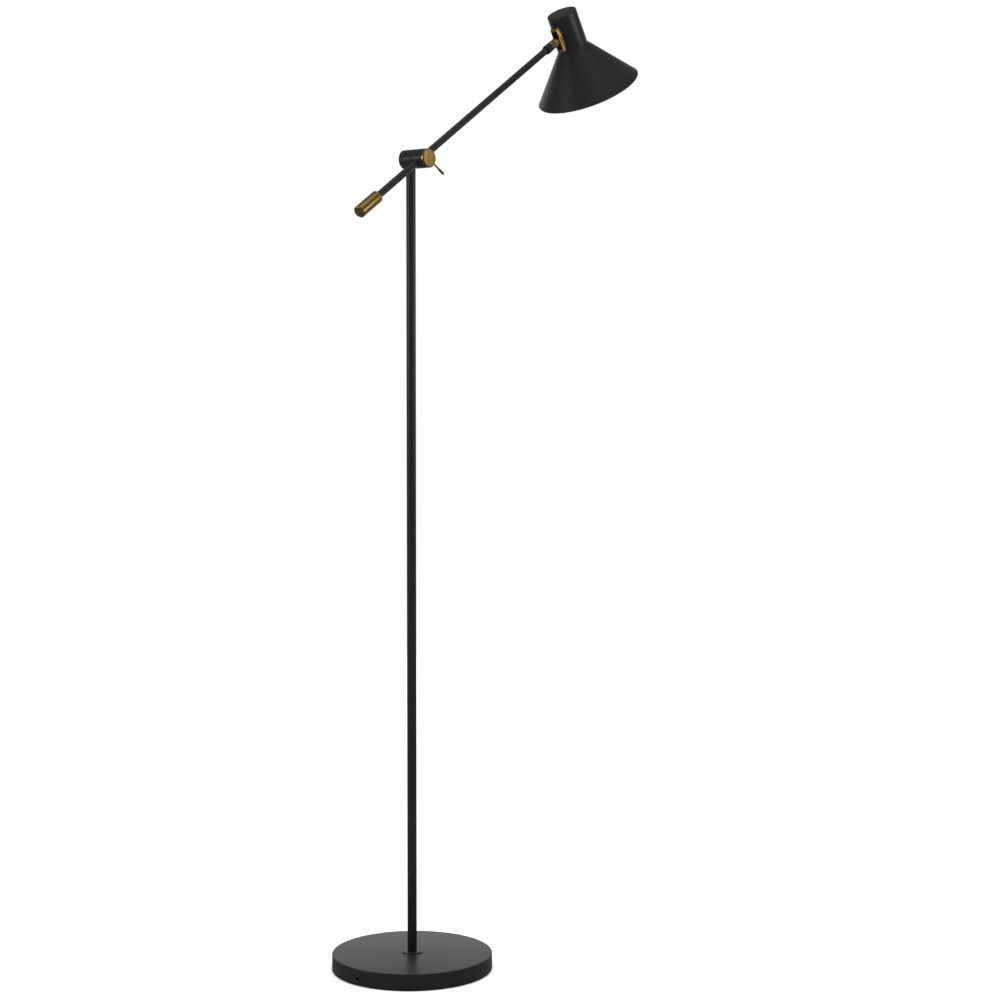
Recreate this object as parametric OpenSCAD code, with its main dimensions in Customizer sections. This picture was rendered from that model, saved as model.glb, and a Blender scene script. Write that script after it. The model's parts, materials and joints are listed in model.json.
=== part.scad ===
// Adjustable arm floor lamp: a round weighted base, a straight pole, a balanced
// arm clamped at the top of the pole, and a cone shade on a swivelling knuckle.
// Millimetres. The origin is on the floor at the pole's axis, +Z is up, and the
// arm lies in a plane parallel to XZ and points towards +X.

/* [Base] */
// Diameter of the base
base_d = 255; // [220:1:320]
// Height of the base above the floor
base_h = 26.25; // [24:0.25:40]
// Thickness of the pressed steel cover
cover_wall = 1.2; // [0.8:0.1:1.6]
// Radius of the cover's top edge
cover_edge = 1.6; // [0.4:0.1:3]
// Thickness of the pad under the base
pad_t = 2; // [1:0.25:3]
// Height of the cord outlet above the floor
outlet_z = 11.5; // [10:0.25:12]
// Bore of the cord outlet's bushing
outlet_bore = 6.2; // [5:0.1:7]

/* [Pole] */
// Diameter of the pole
pole_d = 15; // [13:0.25:18.5]
// Wall of the pole
pole_wall = 1.5; // [0.8:0.1:1.8]
// Height of the arm's pivot above the floor
pivot_z = 1284; // [900:1:1600]
// Diameter of the flange at the foot of the pole
foot_d = 33; // [24:0.5:60]
// Thickness of that flange
foot_t = 1.5; // [1:0.1:4]

/* [Pivot] */
// Diameter of the two pivot blocks
block_d = 30.26; // [29:0.01:36.5]
// Length of the fixed block
housing_len = 22; // [21:0.1:30]
// Length of the turning block that holds the arm
hub_len = 21.6; // [19:0.1:28]
// Distance from the pole's axis to the far end of the fixed block
housing_back = 12.12; // [10.2:0.01:14]
// Diameter of the clamp screw
clamp_d = 6; // [5:0.1:7.2]
// Diameter of the knob
knob_d = 30; // [24:0.5:36]
// Thickness of the knob
knob_t = 7.4; // [5.6:0.1:12]
// Reach of the knob's lever from the pivot's axis
lever_reach = 42.5; // [30:0.5:60]
// Diameter of the lever's rod
lever_d = 3; // [2:0.1:3.4]
// Diameter of the lever's grip
grip_d = 4.5; // [3.6:0.1:6]
// Length of the lever's grip
grip_len = 12; // [6:0.5:14]
// Angle of the lever below the horizontal
lever_drop = 31.7; // [0:0.1:90]

/* [Arm] */
// Angle of the arm above the horizontal
arm_rise = 32.73; // [0:0.01:60]
// Distance from the pivot to the shade's hinge pin
arm_reach = 416.5; // [250:0.5:600]
// Diameter of the arm's tubes
arm_d = 11.1; // [10:0.01:13]
// Wall of the arm's tubes
arm_wall = 1; // [0.6:0.05:1.2]
// Distance from the pivot to the far end of the counterweight
tail_reach = 169.15; // [110:0.5:260]
// Length of the counterweight
weight_len = 50; // [24:0.5:80]
// Diameter of the counterweight
weight_d = 19.6; // [16:0.02:26]

/* [Swivel] */
// Length of the black collar at the arm's end
collar_len = 12; // [8:0.5:20]
// Wall of that collar round the arm's tube
collar_wall = 2.1; // [0.5:0.01:4]
// Length of the brass sleeve
sleeve_len = 11.2; // [8:0.1:30]
// Step from the arm's tube out to the brass sleeve
sleeve_step = 1.75; // [0.2:0.01:3]
// Length of the knuckle from its shoulder to the hinge pin
knuckle_len = 17.5; // [12:0.5:30]
// Diameter of the knuckle
knuckle_d = 14.4; // [11:0.1:16]
// Diameter of the hinge pin
pin_d = 4; // [3:0.1:5]

/* [Bracket] */
// Height of the hinge bracket along the cap
bracket_h = 41; // [39:0.5:44]
// Width of the bracket
bracket_w = 13.3; // [13:0.1:16]
// Thickness of the bracket's two cheeks
cheek_t = 1.6; // [1:0.1:1.8]
// Distance from the hinge pin to the cap
pin_standoff = 5.13; // [5:0.01:8]
// Thickness of the bracket's web against the cap
web_t = 0.9; // [0.6:0.05:1.2]
// Distance from the hinge pin to the bracket's front
bracket_nose = 4.87; // [3:0.01:6]

/* [Shade] */
// Lean of the shade's axis from the vertical
head_lean = 31.99; // [0:0.01:60]
// Diameter of the cap
cap_d = 51.2; // [49:0.1:62]
// Height of the cap above the hinge pin
cap_up = 34.87; // [33:0.01:50]
// Depth of the cap below the hinge pin
cap_down = 26.6; // [25.5:0.01:30]
// Thickness of the cap's and shade's sheet metal
sheet_t = 1; // [0.6:0.1:1.2]
// Diameter of the shade's rim
rim_d = 179.46; // [150:0.01:240]
// Height of the shade's cone
cone_h = 81.94; // [80:0.01:130]
// Diameter of the rolled bead at the rim
bead_d = 2.4; // [1.6:0.1:4]

/* [Lampholder] */
// Outside diameter of the lampholder's barrel
holder_d = 34; // [33:0.1:36]
// Step from the cap in to the thread that carries the shade
neck_step = 5.6; // [4.6:0.1:6.6]
// Diameter of the bulb
bulb_d = 60; // [45:0.5:64]
// Length of the bulb from its contact to its tip
bulb_len = 104; // [95:0.5:106]

/* [Clearances] */
// Gap round a pin or shaft that turns, on the radius
turn_gap = 0.05; // [0.02:0.01:0.1]
// Gap between faces that slide past each other
slide_gap = 0.3; // [0.2:0.05:0.5]
// Gap round parts that are screwed or glued together, on the radius
fit_gap = 0.02; // [0.01:0.01:0.05]

/* [Hidden] */
$fn = 96;

BLACK = "#2b2c2e";
BRASS = "#a98646";
STEEL = "#8d9094";
GREY = "#55575a";
LEAD = "#1c1c1e";
PHENOLIC = "#1f1f21";

eps = 0.01;
cut = 1;
drill_gap = 0.3;

// Base
plate_z = base_h - cover_wall;
pad_inset = 2.5;
weight_gap = 1;
weight_r = base_d / 2 - cover_wall - weight_gap;
pocket_d = 38;
pocket_z = 18;
nipple_d = 10;
nipple_bore = 6.4;
nipple_low_z = 9.6;
nut_af = 17;
nut_t = 5;
base_washer_d = 32;
base_washer_t = 2;
lead_d = 3.8;
lead_bulge = 0.05;
lead_low_z = pad_t + lead_d / 2 + lead_bulge + fit_gap;
lead_turn = 5;
channel_w = 7;
lead_gap = 1;
channel_top = lead_low_z + lead_d / 2 + lead_gap;
bushing_wall = 1.5;
bushing_rim = 1;
bushing_d = outlet_bore + 2 * bushing_wall;
bushing_flange_d = bushing_d + 2 * bushing_rim;
bushing_flange_t = 1;
bushing_tail = 4;
outlet_room = bushing_flange_d + 1;
outlet_depth = 28;
lead_start = 3;
lead_straight = 4;
lead_dip = 12;
foot_edge = 0.5;

// Pole
pole_z = base_h + foot_t;
plug_len = 20;
plug_cover = 4;
pole_bore_r = pole_d / 2 - pole_wall;

// Pivot: positions along Y, with the far end of the fixed block at housing_back
clamp_r = clamp_d / 2;
thread_room = 1.5;
pole_top_z = pivot_z - clamp_r - thread_room;
housing_face_y = housing_back - housing_len;
hub_face_y = housing_face_y - slide_gap;
hub_end_y = hub_face_y - hub_len;
arm_shift = 0.47;
arm_y = hub_face_y - hub_len / 2 - arm_shift;
washer_t = 1;
washer_sink = (washer_t - slide_gap) / 2;
groove_wall = 2;
groove_in_r = clamp_r + groove_wall;
groove_out_r = groove_in_r + lead_d + 2 * lead_gap;
groove_mid_r = (groove_in_r + groove_out_r) / 2;
housing_groove = 4;
friction_lip = 0.7;
washer_room = 0.1;
friction_in_r = groove_out_r + drill_gap;
friction_out_r = block_d / 2 - friction_lip;
seat_wall = 1.6;
arm_seat = clamp_r + seat_wall;
knob_washer_d = 25.8;
knob_washer_t = 0.75;
knob_back_y = hub_end_y - turn_gap - knob_washer_t;
knob_face_y = knob_back_y - knob_t;
knob_bevel = 1.5;
grip_edge = 0.7;
lever_y = (knob_back_y + knob_face_y) / 2;
lever_bite = 7;
lever_root = knob_d / 2 - lever_bite;
screw_cover = 3;
knob_skin = 1.2;
screw_end_y = housing_back - screw_cover;
screw_start_y = knob_face_y + knob_skin;
grub_d = 4;
grub_key = 2;
grub_key_deep = 1.6;
grub_inset = 0.4;
grub_z = pivot_z - groove_out_r - grub_inset;

// Arm: distances along the arm from the pivot
arm_r = arm_d / 2;
arm_bore_r = arm_r - arm_wall;
spigot_r = arm_bore_r - fit_gap;
collar_d = arm_d + 2 * collar_wall;
sleeve_d = arm_d + 2 * sleeve_step;
fitting_edge = 0.4;
knuckle_start = arm_reach - knuckle_len;
sleeve_end = knuckle_start - slide_gap;
sleeve_start = sleeve_end - sleeve_len;
collar_start = sleeve_start - collar_len;
collar_lip = 3;
tube_end = sleeve_start - collar_lip;
spigot_len = 8;
stem_d = 6.4;
lead_slip = 0.2;
stem_bore = lead_d + 2 * lead_slip;
stem_tail = 4;
stem_end = tube_end - spigot_len - stem_tail;
swivel_nut_t = 3;
swivel_nut_at = stem_end + 0.5;
weight_end_t = 9;
tail_end = tail_reach - weight_end_t;
weight_start = tail_reach - weight_len;
weight_bevel = 1.4;
weight_screw_in = 15;
weight_screw_at = weight_start + weight_screw_in;

// Shade hinge: the pin is the origin of the shade's own frame
pin_r = pin_d / 2;
pin_head_rim = 1.2;
pin_head_r = pin_r + pin_head_rim;
pin_head_t = 1.2;
pin_slot_w = 0.8;
pin_slot_deep = 0.6;
cheek_gap = 0.25;
nose_gap = 0.55;
knuckle_wall = 8.4;
knuckle_w = bracket_w - 2 * cheek_t - 2 * cheek_gap;
knuckle_nose_r = pin_standoff - web_t - nose_gap;
tongue_len = 9;
tongue_edge = 1.2;
bridge_h = 4.5;
slot_h = bracket_h - 2 * bridge_h;
screw_d = 2.5;
screw_z = (bracket_h + slot_h) / 4;
screw_head_d = 4.6;
screw_head_t = 1.6;
screw_key = 1.5;
screw_key_deep = 1.1;
screw_bite = 7;
screw_tip = 0.5;

// Cap and shade
cap_x = pin_standoff + cap_d / 2;
cap_r = cap_d / 2;
cap_edge = 1.2;
cap_in_r = cap_r - sheet_t;
rim_r = rim_d / 2;
cone_top_z = -cap_down;
rim_z = cone_top_z - cone_h;
cone_slope = (rim_r - cap_r) / cone_h;
wall_run = sheet_t * sqrt(1 + cone_slope * cone_slope);
bead_r = bead_d / 2;
skirt_d = cap_d - 2 * neck_step;
neck_r = skirt_d / 2 + drill_gap;

// Lampholder
strap_t = 1.5;
strap_w = 12;
strap_end = 9;
ring_t = 4;
ring_inset = 1.2;
ring_grips = 12;
ring_grip_d = 2.2;
ring_r = cap_r - ring_inset;
strap_lift = 0.5;
skirt_tail = 2;
holder_top_z = screw_z + screw_head_d / 2 + strap_lift;
holder_low_z = cone_top_z - sheet_t - ring_t - skirt_tail;
holder_floor_z = 1;
holder_edge = 2;
shoulder_t = 2.4;
shoulder_gap = 0.6;
shoulder_r = cap_in_r - shoulder_gap;
screw_shell_r = 14.2;
screw_shell_t = 0.6;
shell_inset = 3;
contact_r = 4;
contact_t = 1;
entry_drop = 2.2;
entry_z = slot_h / 2 - lead_d / 2 - entry_drop;
rise_gap = 0.1;
lead_rise_x = cap_x - holder_d / 2 - lead_d / 2 - rise_gap;
nipple_bite = 8;
nipple_rise = 5;
nipple_top_z = holder_top_z + strap_t + nipple_rise;
locknut_af = 14;
locknut_t = 3;
lead_lift = 1.2;
lead_over_z = nipple_top_z + lead_d / 2 + lead_lift;

// Bulb: its contact's tip is at the pin's height
bulb_cap_r = 13.1;
bulb_cap_t = 0.6;
bulb_cap_len = 25;
bulb_taper = 5;
bulb_web = 2;
bulb_tip_r = 5;
bulb_tip_h = 1;
bulb_pin_r = 3.4;
bulb_pin_len = 5;
bulb_button_r = 4.2;
bulb_button_top_r = 3;
bulb_glass_t = 0.8;
glass_bite = 1.5;
glass_step = 0.8;
glass_neck_r = bulb_cap_r - glass_step;
ball_r = bulb_d / 2;
ball_z = ball_r - bulb_len;
neck_z = glass_bite - bulb_cap_len;
flare_z = holder_low_z - skirt_tail;

// A cylinder from one point along Y, towards +Y
module y_rod(d, y0, y1) {
    translate([0, y1, 0]) rotate([90, 0, 0]) cylinder(d = d, h = y1 - y0);
}

// A cylinder along X between two stations
module x_rod(d, x0, x1) {
    translate([x0, 0, 0]) rotate([0, 90, 0]) cylinder(d = d, h = x1 - x0);
}

// A cylinder along X with bevelled ends
module x_bar(d, x0, x1, bevel) {
    r = d / 2;
    translate([x0, 0, 0]) rotate([0, 90, 0]) rotate_extrude() polygon([
        [0, 0], [r - bevel, 0], [r, bevel],
        [r, x1 - x0 - bevel], [r - bevel, x1 - x0], [0, x1 - x0]
    ]);
}

// A disc standing on z = 0 with a rounded top edge
module puck(d, h, edge) {
    cylinder(d = d, h = h - edge);
    cylinder(d = d - 2 * edge, h = h);
    translate([0, 0, h - edge]) rotate_extrude() translate([d / 2 - edge, 0]) circle(r = edge);
}

// A hexagon prism along Z with a round hole
module hex_nut(af, hole, h) {
    difference() {
        cylinder(d = af / cos(30), h = h, $fn = 6);
        translate([0, 0, -cut]) cylinder(d = hole, h = h + 2 * cut);
    }
}

// A grub screw along Z with a hexagon key hole in its top
module grub(len) {
    difference() {
        cylinder(d = grub_d, h = len);
        translate([0, 0, len - grub_key_deep])
            cylinder(d = grub_key / cos(30), h = grub_key_deep + cut, $fn = 6);
    }
}

// A round lead that runs straight between the points of a list, with swollen bends if asked
module lead_run(points, bulge = 0) {
    for (i = [0 : len(points) - 2]) {
        step = points[i + 1] - points[i];
        turn = [0, acos(step[2] / norm(step)), atan2(step[1], step[0])];
        translate(points[i]) rotate(turn) cylinder(d = lead_d, h = norm(step), $fn = 24);
    }
    if (len(points) > 2) {
        for (i = [1 : len(points) - 2]) translate(points[i]) sphere(d = lead_d + 2 * bulge, $fn = 24);
    }
}

// The pivot's frame: the axis of the two blocks along Y
module at_pivot() {
    translate([0, 0, pivot_z]) children();
}

// The arm's frame: +X runs up the arm from the pivot
module at_arm() {
    translate([0, arm_y, pivot_z]) rotate([0, -arm_rise, 0]) children();
}

// The hinge's frame, still in line with the arm
module at_hinge() {
    at_arm() translate([arm_reach, 0, 0]) children();
}

// The shade's frame: the origin is the hinge pin and +Z is the shade's axis
module at_head() {
    translate([arm_reach * cos(arm_rise), arm_y, pivot_z + arm_reach * sin(arm_rise)])
        rotate([0, -head_lean, 0]) children();
}

// ---- Base ----

module floor_pad() {
    color(GREY) cylinder(d = base_d - 2 * pad_inset, h = pad_t);
}

module base_weight() {
    color(GREY) difference() {
        translate([0, 0, pad_t]) cylinder(r = weight_r, h = plate_z - pad_t);
        translate([0, 0, pad_t - cut]) cylinder(d = pocket_d, h = pocket_z - pad_t + cut);
        translate([0, 0, pocket_z - cut]) cylinder(d = nipple_d + 2 * drill_gap, h = base_h);
        translate([-base_d, -channel_w / 2, pad_t - cut])
            cube([base_d, channel_w, channel_top - pad_t + cut]);
        translate([-base_d, -outlet_room / 2, pad_t - cut])
            cube([base_d / 2 + outlet_depth, outlet_room, outlet_z + outlet_room / 2 - pad_t + cut]);
    }
}

module base_cover() {
    color(BLACK) difference() {
        translate([0, 0, pad_t / 2]) puck(base_d, base_h - pad_t / 2, cover_edge);
        translate([0, 0, -cut]) cylinder(d = base_d - 2 * cover_wall, h = plate_z + cut);
        cylinder(d = nipple_d + 2 * drill_gap, h = base_h + cut);
        translate([0, 0, outlet_z]) x_rod(bushing_d + 2 * fit_gap, -base_d, 0);
    }
}

module cord_bushing() {
    flange_x = -base_d / 2;
    tail_x = flange_x + cover_wall + bushing_tail;
    color(PHENOLIC) translate([0, 0, outlet_z]) difference() {
        union() {
            x_rod(bushing_flange_d, flange_x - bushing_flange_t, flange_x);
            x_rod(bushing_d, flange_x - eps, tail_x);
        }
        x_rod(outlet_bore, flange_x - bushing_flange_t - cut, tail_x + cut);
    }
}

module base_nut() {
    color(STEEL) translate([0, 0, pocket_z - base_washer_t - nut_t])
        hex_nut(nut_af, nipple_d + 2 * fit_gap, nut_t);
}

module base_washer() {
    color(STEEL) translate([0, 0, pocket_z - base_washer_t]) difference() {
        cylinder(d = base_washer_d, h = base_washer_t);
        translate([0, 0, -cut]) cylinder(d = nipple_d + 2 * drill_gap, h = base_washer_t + 2 * cut);
    }
}

module base_nipple() {
    color(STEEL) translate([0, 0, nipple_low_z]) difference() {
        cylinder(d = nipple_d, h = pole_z + plug_len - plug_cover - nipple_low_z);
        translate([0, 0, -cut]) cylinder(d = nipple_bore, h = pole_z + plug_len);
    }
}

module foot_flange() {
    color(BLACK) translate([0, 0, base_h]) difference() {
        puck(foot_d, foot_t, foot_edge);
        translate([0, 0, -cut]) cylinder(d = nipple_d + 2 * drill_gap, h = foot_t + 2 * cut);
    }
}

// ---- Pole ----

module pole_plug() {
    color(STEEL) translate([0, 0, pole_z]) difference() {
        cylinder(r = pole_bore_r - fit_gap, h = plug_len);
        translate([0, 0, -cut]) cylinder(d = nipple_d + 2 * fit_gap, h = plug_len + 2 * cut);
    }
}

module pole() {
    color(BLACK) difference() {
        translate([0, 0, pole_z]) cylinder(d = pole_d, h = pole_top_z - pole_z);
        translate([0, 0, pole_z - cut]) cylinder(r = pole_bore_r, h = pole_top_z);
        translate([0, 0, pivot_z - groove_mid_r]) y_rod(lead_d + 4 * lead_slip, -pole_d, 0);
    }
}

module pole_lead() {
    inner_x = -weight_r + bushing_tail + lead_start;
    top_z = pivot_z - groove_mid_r;
    color(LEAD) lead_run([
        [inner_x, 0, outlet_z],
        [inner_x + lead_straight, 0, outlet_z],
        [inner_x + lead_straight + lead_dip, 0, lead_low_z],
        [-lead_turn, 0, lead_low_z],
        [0, 0, lead_low_z + lead_turn],
        [0, 0, top_z],
        [0, housing_face_y + lead_slip, top_z]
    ], lead_bulge);
}

// ---- Pivot, fixed half ----

module pivot_housing() {
    washer_seat_y = housing_face_y + washer_sink;
    color(BLACK) at_pivot() difference() {
        y_rod(block_d, housing_face_y, housing_back);
        // seat of the pole
        translate([0, 0, -block_d])
            cylinder(r = pole_d / 2 + fit_gap, h = pole_top_z - pivot_z + block_d);
        // thread of the clamp screw
        y_rod(clamp_d + 2 * turn_gap, housing_face_y - cut, screw_end_y + drill_gap);
        // seat of the friction washer
        difference() {
            y_rod(2 * (friction_out_r + washer_room), housing_face_y - cut, washer_seat_y);
            y_rod(2 * (friction_in_r - washer_room), housing_face_y - 2 * cut, housing_face_y + cut);
        }
        // room for the lead round the clamp screw
        difference() {
            y_rod(2 * groove_out_r, housing_face_y - cut, housing_face_y + housing_groove);
            y_rod(2 * groove_in_r, housing_face_y - 2 * cut, housing_face_y + housing_groove + cut);
        }
        translate([0, 0, grub_z - pivot_z]) y_rod(grub_d + 2 * fit_gap, 0, housing_back + cut);
    }
}

module housing_set_screw() {
    start = pole_d / 2 + fit_gap;
    color(STEEL) translate([0, start, grub_z])
        rotate([-90, 0, 0]) grub(housing_back - start - grub_inset);
}

module friction_washer() {
    back_y = housing_face_y + washer_sink;
    color("#6b3f2a") at_pivot() difference() {
        y_rod(2 * friction_out_r, back_y - washer_t, back_y);
        y_rod(2 * friction_in_r, back_y - washer_t - cut, back_y + cut);
    }
}

// ---- Arm ----

module arm_hub() {
    washer_seat_y = hub_face_y - washer_sink - turn_gap;
    color(BLACK) difference() {
        at_pivot() y_rod(block_d, hub_end_y, hub_face_y);
        at_pivot() y_rod(clamp_d + 4 * turn_gap, hub_end_y - cut, hub_face_y + cut);
        at_pivot() difference() {
            y_rod(2 * (friction_out_r + washer_room), washer_seat_y, hub_face_y + cut);
            y_rod(2 * (friction_in_r - washer_room), hub_face_y - washer_t, hub_face_y + 2 * cut);
        }
        at_pivot() difference() {
            y_rod(2 * groove_out_r, arm_y + arm_bore_r + lead_slip, hub_face_y + cut);
            y_rod(2 * groove_in_r, arm_y, hub_face_y + 2 * cut);
        }
        at_arm() x_rod(arm_d + 2 * fit_gap, arm_seat, block_d);
        at_arm() x_rod(arm_d + 2 * fit_gap, -block_d, -arm_seat);
    }
}

module upper_arm() {
    color(BLACK) at_arm() difference() {
        x_rod(arm_d, arm_seat, tube_end);
        x_rod(2 * arm_bore_r, arm_seat - cut, tube_end + cut);
        translate([groove_mid_r, 0, 0]) y_rod(lead_d + 2 * fit_gap, 0, arm_d);
        translate([arm_seat - cut, 0, -lead_d / 2 - fit_gap])
            cube([groove_mid_r - arm_seat + cut, arm_d, lead_d + 2 * fit_gap]);
    }
}

module lower_arm() {
    color(BLACK) at_arm() difference() {
        x_rod(arm_d, -tail_end, -arm_seat);
        x_rod(2 * arm_bore_r, -tail_end - cut, -arm_seat + cut);
    }
}

module counterweight() {
    color(BRASS) at_arm() difference() {
        x_bar(weight_d, -tail_reach, -weight_start, weight_bevel);
        x_rod(arm_d + 2 * fit_gap, -tail_end, 0);
        translate([-weight_screw_at, 0, 0]) y_rod(grub_d + 2 * fit_gap, 0, weight_d);
    }
}

module weight_set_screw() {
    color(STEEL) at_arm() translate([-weight_screw_at, arm_r + fit_gap, 0])
        rotate([-90, 0, 0]) grub((weight_d - arm_d) / 2 - grub_inset);
}

module end_collar() {
    color(BLACK) at_arm() difference() {
        x_bar(collar_d, collar_start, sleeve_start, fitting_edge);
        x_rod(arm_d + 2 * fit_gap, collar_start - cut, tube_end);
        x_rod(2 * (spigot_r + fit_gap), collar_start, sleeve_start + cut);
    }
}

module swivel_sleeve() {
    color(BRASS) at_arm() difference() {
        union() {
            x_bar(sleeve_d, sleeve_start, sleeve_end, fitting_edge);
            x_rod(2 * spigot_r, tube_end - spigot_len, sleeve_start + cut);
        }
        x_rod(stem_d + 2 * turn_gap, stem_end - cut, sleeve_end + cut);
    }
}

module arm_lead() {
    color(LEAD) at_arm() lead_run([
        [groove_mid_r, hub_face_y - arm_y - 2 * lead_slip, 0],
        [groove_mid_r, 0, 0],
        [arm_reach - pin_r - knuckle_wall - lead_d / 2, 0, 0]
    ]);
}

// ---- Clamp ----

module knob_washer() {
    color(GREY) at_pivot() difference() {
        y_rod(knob_washer_d, knob_back_y, knob_back_y + knob_washer_t);
        y_rod(clamp_d + 2 * fit_gap, knob_back_y - cut, knob_back_y + knob_washer_t + cut);
    }
}

module clamp_screw() {
    color(STEEL) at_pivot() y_rod(clamp_d, screw_start_y, screw_end_y);
}

module clamp_knob() {
    color(BRASS) at_pivot() difference() {
        rotate([0, 0, 90]) x_bar(knob_d, knob_face_y, knob_back_y, knob_bevel);
        y_rod(clamp_d + 2 * fit_gap, screw_start_y, knob_back_y + cut);
        translate([0, lever_y, 0]) rotate([0, lever_drop, 0])
            x_rod(lever_d + 2 * fit_gap, lever_root, knob_d);
    }
}

module knob_lever() {
    color(BRASS) at_pivot() translate([0, lever_y, 0]) rotate([0, lever_drop, 0]) {
        x_rod(lever_d, lever_root, lever_reach - grip_len + grip_edge);
        x_bar(grip_d, lever_reach - grip_len, lever_reach, grip_edge);
    }
}

// ---- Swivel ----

module knuckle() {
    color(BRASS) at_hinge() difference() {
        union() {
            intersection() {
                x_bar(knuckle_d, -knuckle_len, -tongue_len, tongue_edge);
                translate([-knuckle_len - cut, -knuckle_w / 2, -knuckle_d])
                    cube([knuckle_len + cut, knuckle_w, 2 * knuckle_d]);
            }
            translate([-tongue_len - cut, -knuckle_w / 2, -knuckle_nose_r])
                cube([tongue_len + cut, knuckle_w, 2 * knuckle_nose_r]);
            y_rod(2 * knuckle_nose_r, -knuckle_w / 2, knuckle_w / 2);
            x_rod(stem_d, stem_end - arm_reach, -knuckle_len + cut);
        }
        y_rod(pin_d + 2 * turn_gap, -knuckle_d, knuckle_d);
        x_rod(stem_bore, stem_end - arm_reach - cut, -pin_r - knuckle_wall);
        translate([-pin_r - knuckle_wall - stem_bore / 2, 0, 0]) cylinder(d = stem_bore, h = knuckle_d);
    }
}

module swivel_nut() {
    color(STEEL) at_arm() difference() {
        x_rod(2 * (arm_bore_r - drill_gap), swivel_nut_at, swivel_nut_at + swivel_nut_t);
        x_rod(stem_d + 2 * fit_gap, swivel_nut_at - cut, swivel_nut_at + swivel_nut_t + cut);
    }
}

// ---- Shade hinge ----

module tilt_bracket() {
    color(BRASS) at_head() difference() {
        translate([-bracket_nose, -bracket_w / 2, -bracket_h / 2])
            cube([bracket_nose + cap_x / 2, bracket_w, bracket_h]);
        translate([cap_x, 0, -bracket_h]) cylinder(r = cap_r + fit_gap, h = 2 * bracket_h);
        translate([-cap_x, -bracket_w / 2 + cheek_t, -slot_h / 2])
            cube([cap_x + pin_standoff - web_t, bracket_w - 2 * cheek_t, slot_h]);
        translate([0, 0, entry_z]) x_rod(lead_d + lead_gap, 0, cap_x);
        y_rod(pin_d + 2 * turn_gap, -bracket_w, bracket_w);
        for (side = [-1, 1]) translate([0, 0, side * screw_z])
            x_rod(screw_d + 2 * fit_gap, pin_standoff - screw_bite, cap_x);
    }
}

module hinge_pin() {
    color(BRASS) at_head() difference() {
        union() {
            y_rod(pin_d, -bracket_w / 2 - eps, bracket_w / 2);
            y_rod(2 * pin_head_r, -bracket_w / 2 - pin_head_t, -bracket_w / 2);
        }
        translate([-pin_head_r, -bracket_w / 2 - pin_head_t - cut, -pin_slot_w / 2])
            cube([2 * pin_head_r, pin_slot_deep + cut, pin_slot_w]);
    }
}

module bracket_screws() {
    seat_x = cap_x - sqrt(pow(cap_in_r - strap_t, 2) - pow(screw_head_d / 2, 2));
    top_x = seat_x + screw_head_t;
    color(STEEL) at_head() for (side = [-1, 1]) translate([0, 0, side * screw_z]) difference() {
        union() {
            x_rod(screw_d, pin_standoff - screw_bite + screw_tip, seat_x + screw_tip);
            x_rod(screw_head_d, seat_x, top_x);
        }
        x_rod(screw_key / cos(30), top_x - screw_key_deep, top_x + cut, $fn = 6);
    }
}

// ---- Cap and shade ----

module cap_shell() {
    color(BLACK) at_head() difference() {
        translate([cap_x, 0, cone_top_z]) puck(cap_d, cap_up + cap_down, cap_edge);
        translate([cap_x, 0, cone_top_z - cut])
            cylinder(r = cap_in_r, h = cap_up + cap_down + cut - sheet_t);
        translate([0, 0, entry_z]) x_rod(lead_d + lead_gap, 0, cap_x);
        for (side = [-1, 1]) translate([0, 0, side * screw_z]) x_rod(screw_d + drill_gap, 0, cap_x);
    }
}

module shade_cone() {
    color(BLACK) at_head() translate([cap_x, 0, 0]) {
        rotate_extrude() polygon([
            [neck_r, cone_top_z],
            [cap_r, cone_top_z],
            [rim_r, rim_z + bead_r],
            [rim_r - wall_run, rim_z + bead_r],
            [cap_r - wall_run + sheet_t * cone_slope, cone_top_z - sheet_t],
            [neck_r, cone_top_z - sheet_t]
        ]);
        translate([0, 0, rim_z + bead_r]) rotate_extrude()
            translate([rim_r - bead_r, 0]) circle(r = bead_r, $fn = 32);
    }
}

module shade_ring() {
    color(PHENOLIC) at_head() translate([cap_x, 0, cone_top_z - sheet_t - ring_t]) difference() {
        cylinder(r = ring_r, h = ring_t);
        translate([0, 0, -cut]) cylinder(d = skirt_d + 2 * fit_gap, h = ring_t + 2 * cut);
        for (i = [0 : ring_grips - 1]) rotate([0, 0, 360 / ring_grips * i]) translate([ring_r, 0, -cut])
            cylinder(d = ring_grip_d, h = ring_t + 2 * cut, $fn = 24);
    }
}

// ---- Lampholder ----

module holder_strap() {
    leg_low_z = -bracket_h / 2;
    leg_top_z = holder_top_z + strap_t;
    color(STEEL) at_head() difference() {
        union() {
            intersection() {
                translate([cap_x, 0, leg_low_z]) difference() {
                    cylinder(r = cap_in_r - fit_gap, h = leg_top_z - leg_low_z);
                    translate([0, 0, -cut])
                        cylinder(r = cap_in_r - strap_t, h = leg_top_z - leg_low_z + 2 * cut);
                }
                translate([0, -strap_w / 2, leg_low_z])
                    cube([cap_x / 2, strap_w, leg_top_z - leg_low_z]);
            }
            intersection() {
                translate([cap_x, 0, holder_top_z]) cylinder(r = cap_in_r - fit_gap, h = strap_t);
                translate([0, -strap_w / 2, holder_top_z]) cube([cap_x + strap_end, strap_w, strap_t]);
            }
        }
        translate([cap_x, 0, holder_top_z - cut])
            cylinder(d = nipple_d + drill_gap, h = strap_t + 2 * cut);
        translate([lead_rise_x, 0, holder_top_z - cut])
            cylinder(d = lead_d + lead_gap, h = strap_t + 2 * cut);
        translate([0, 0, entry_z]) x_rod(lead_d + lead_gap, 0, cap_x / 2);
        for (side = [-1, 1]) translate([0, 0, side * screw_z]) x_rod(screw_d + drill_gap, 0, cap_x / 2);
    }
}

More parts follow.
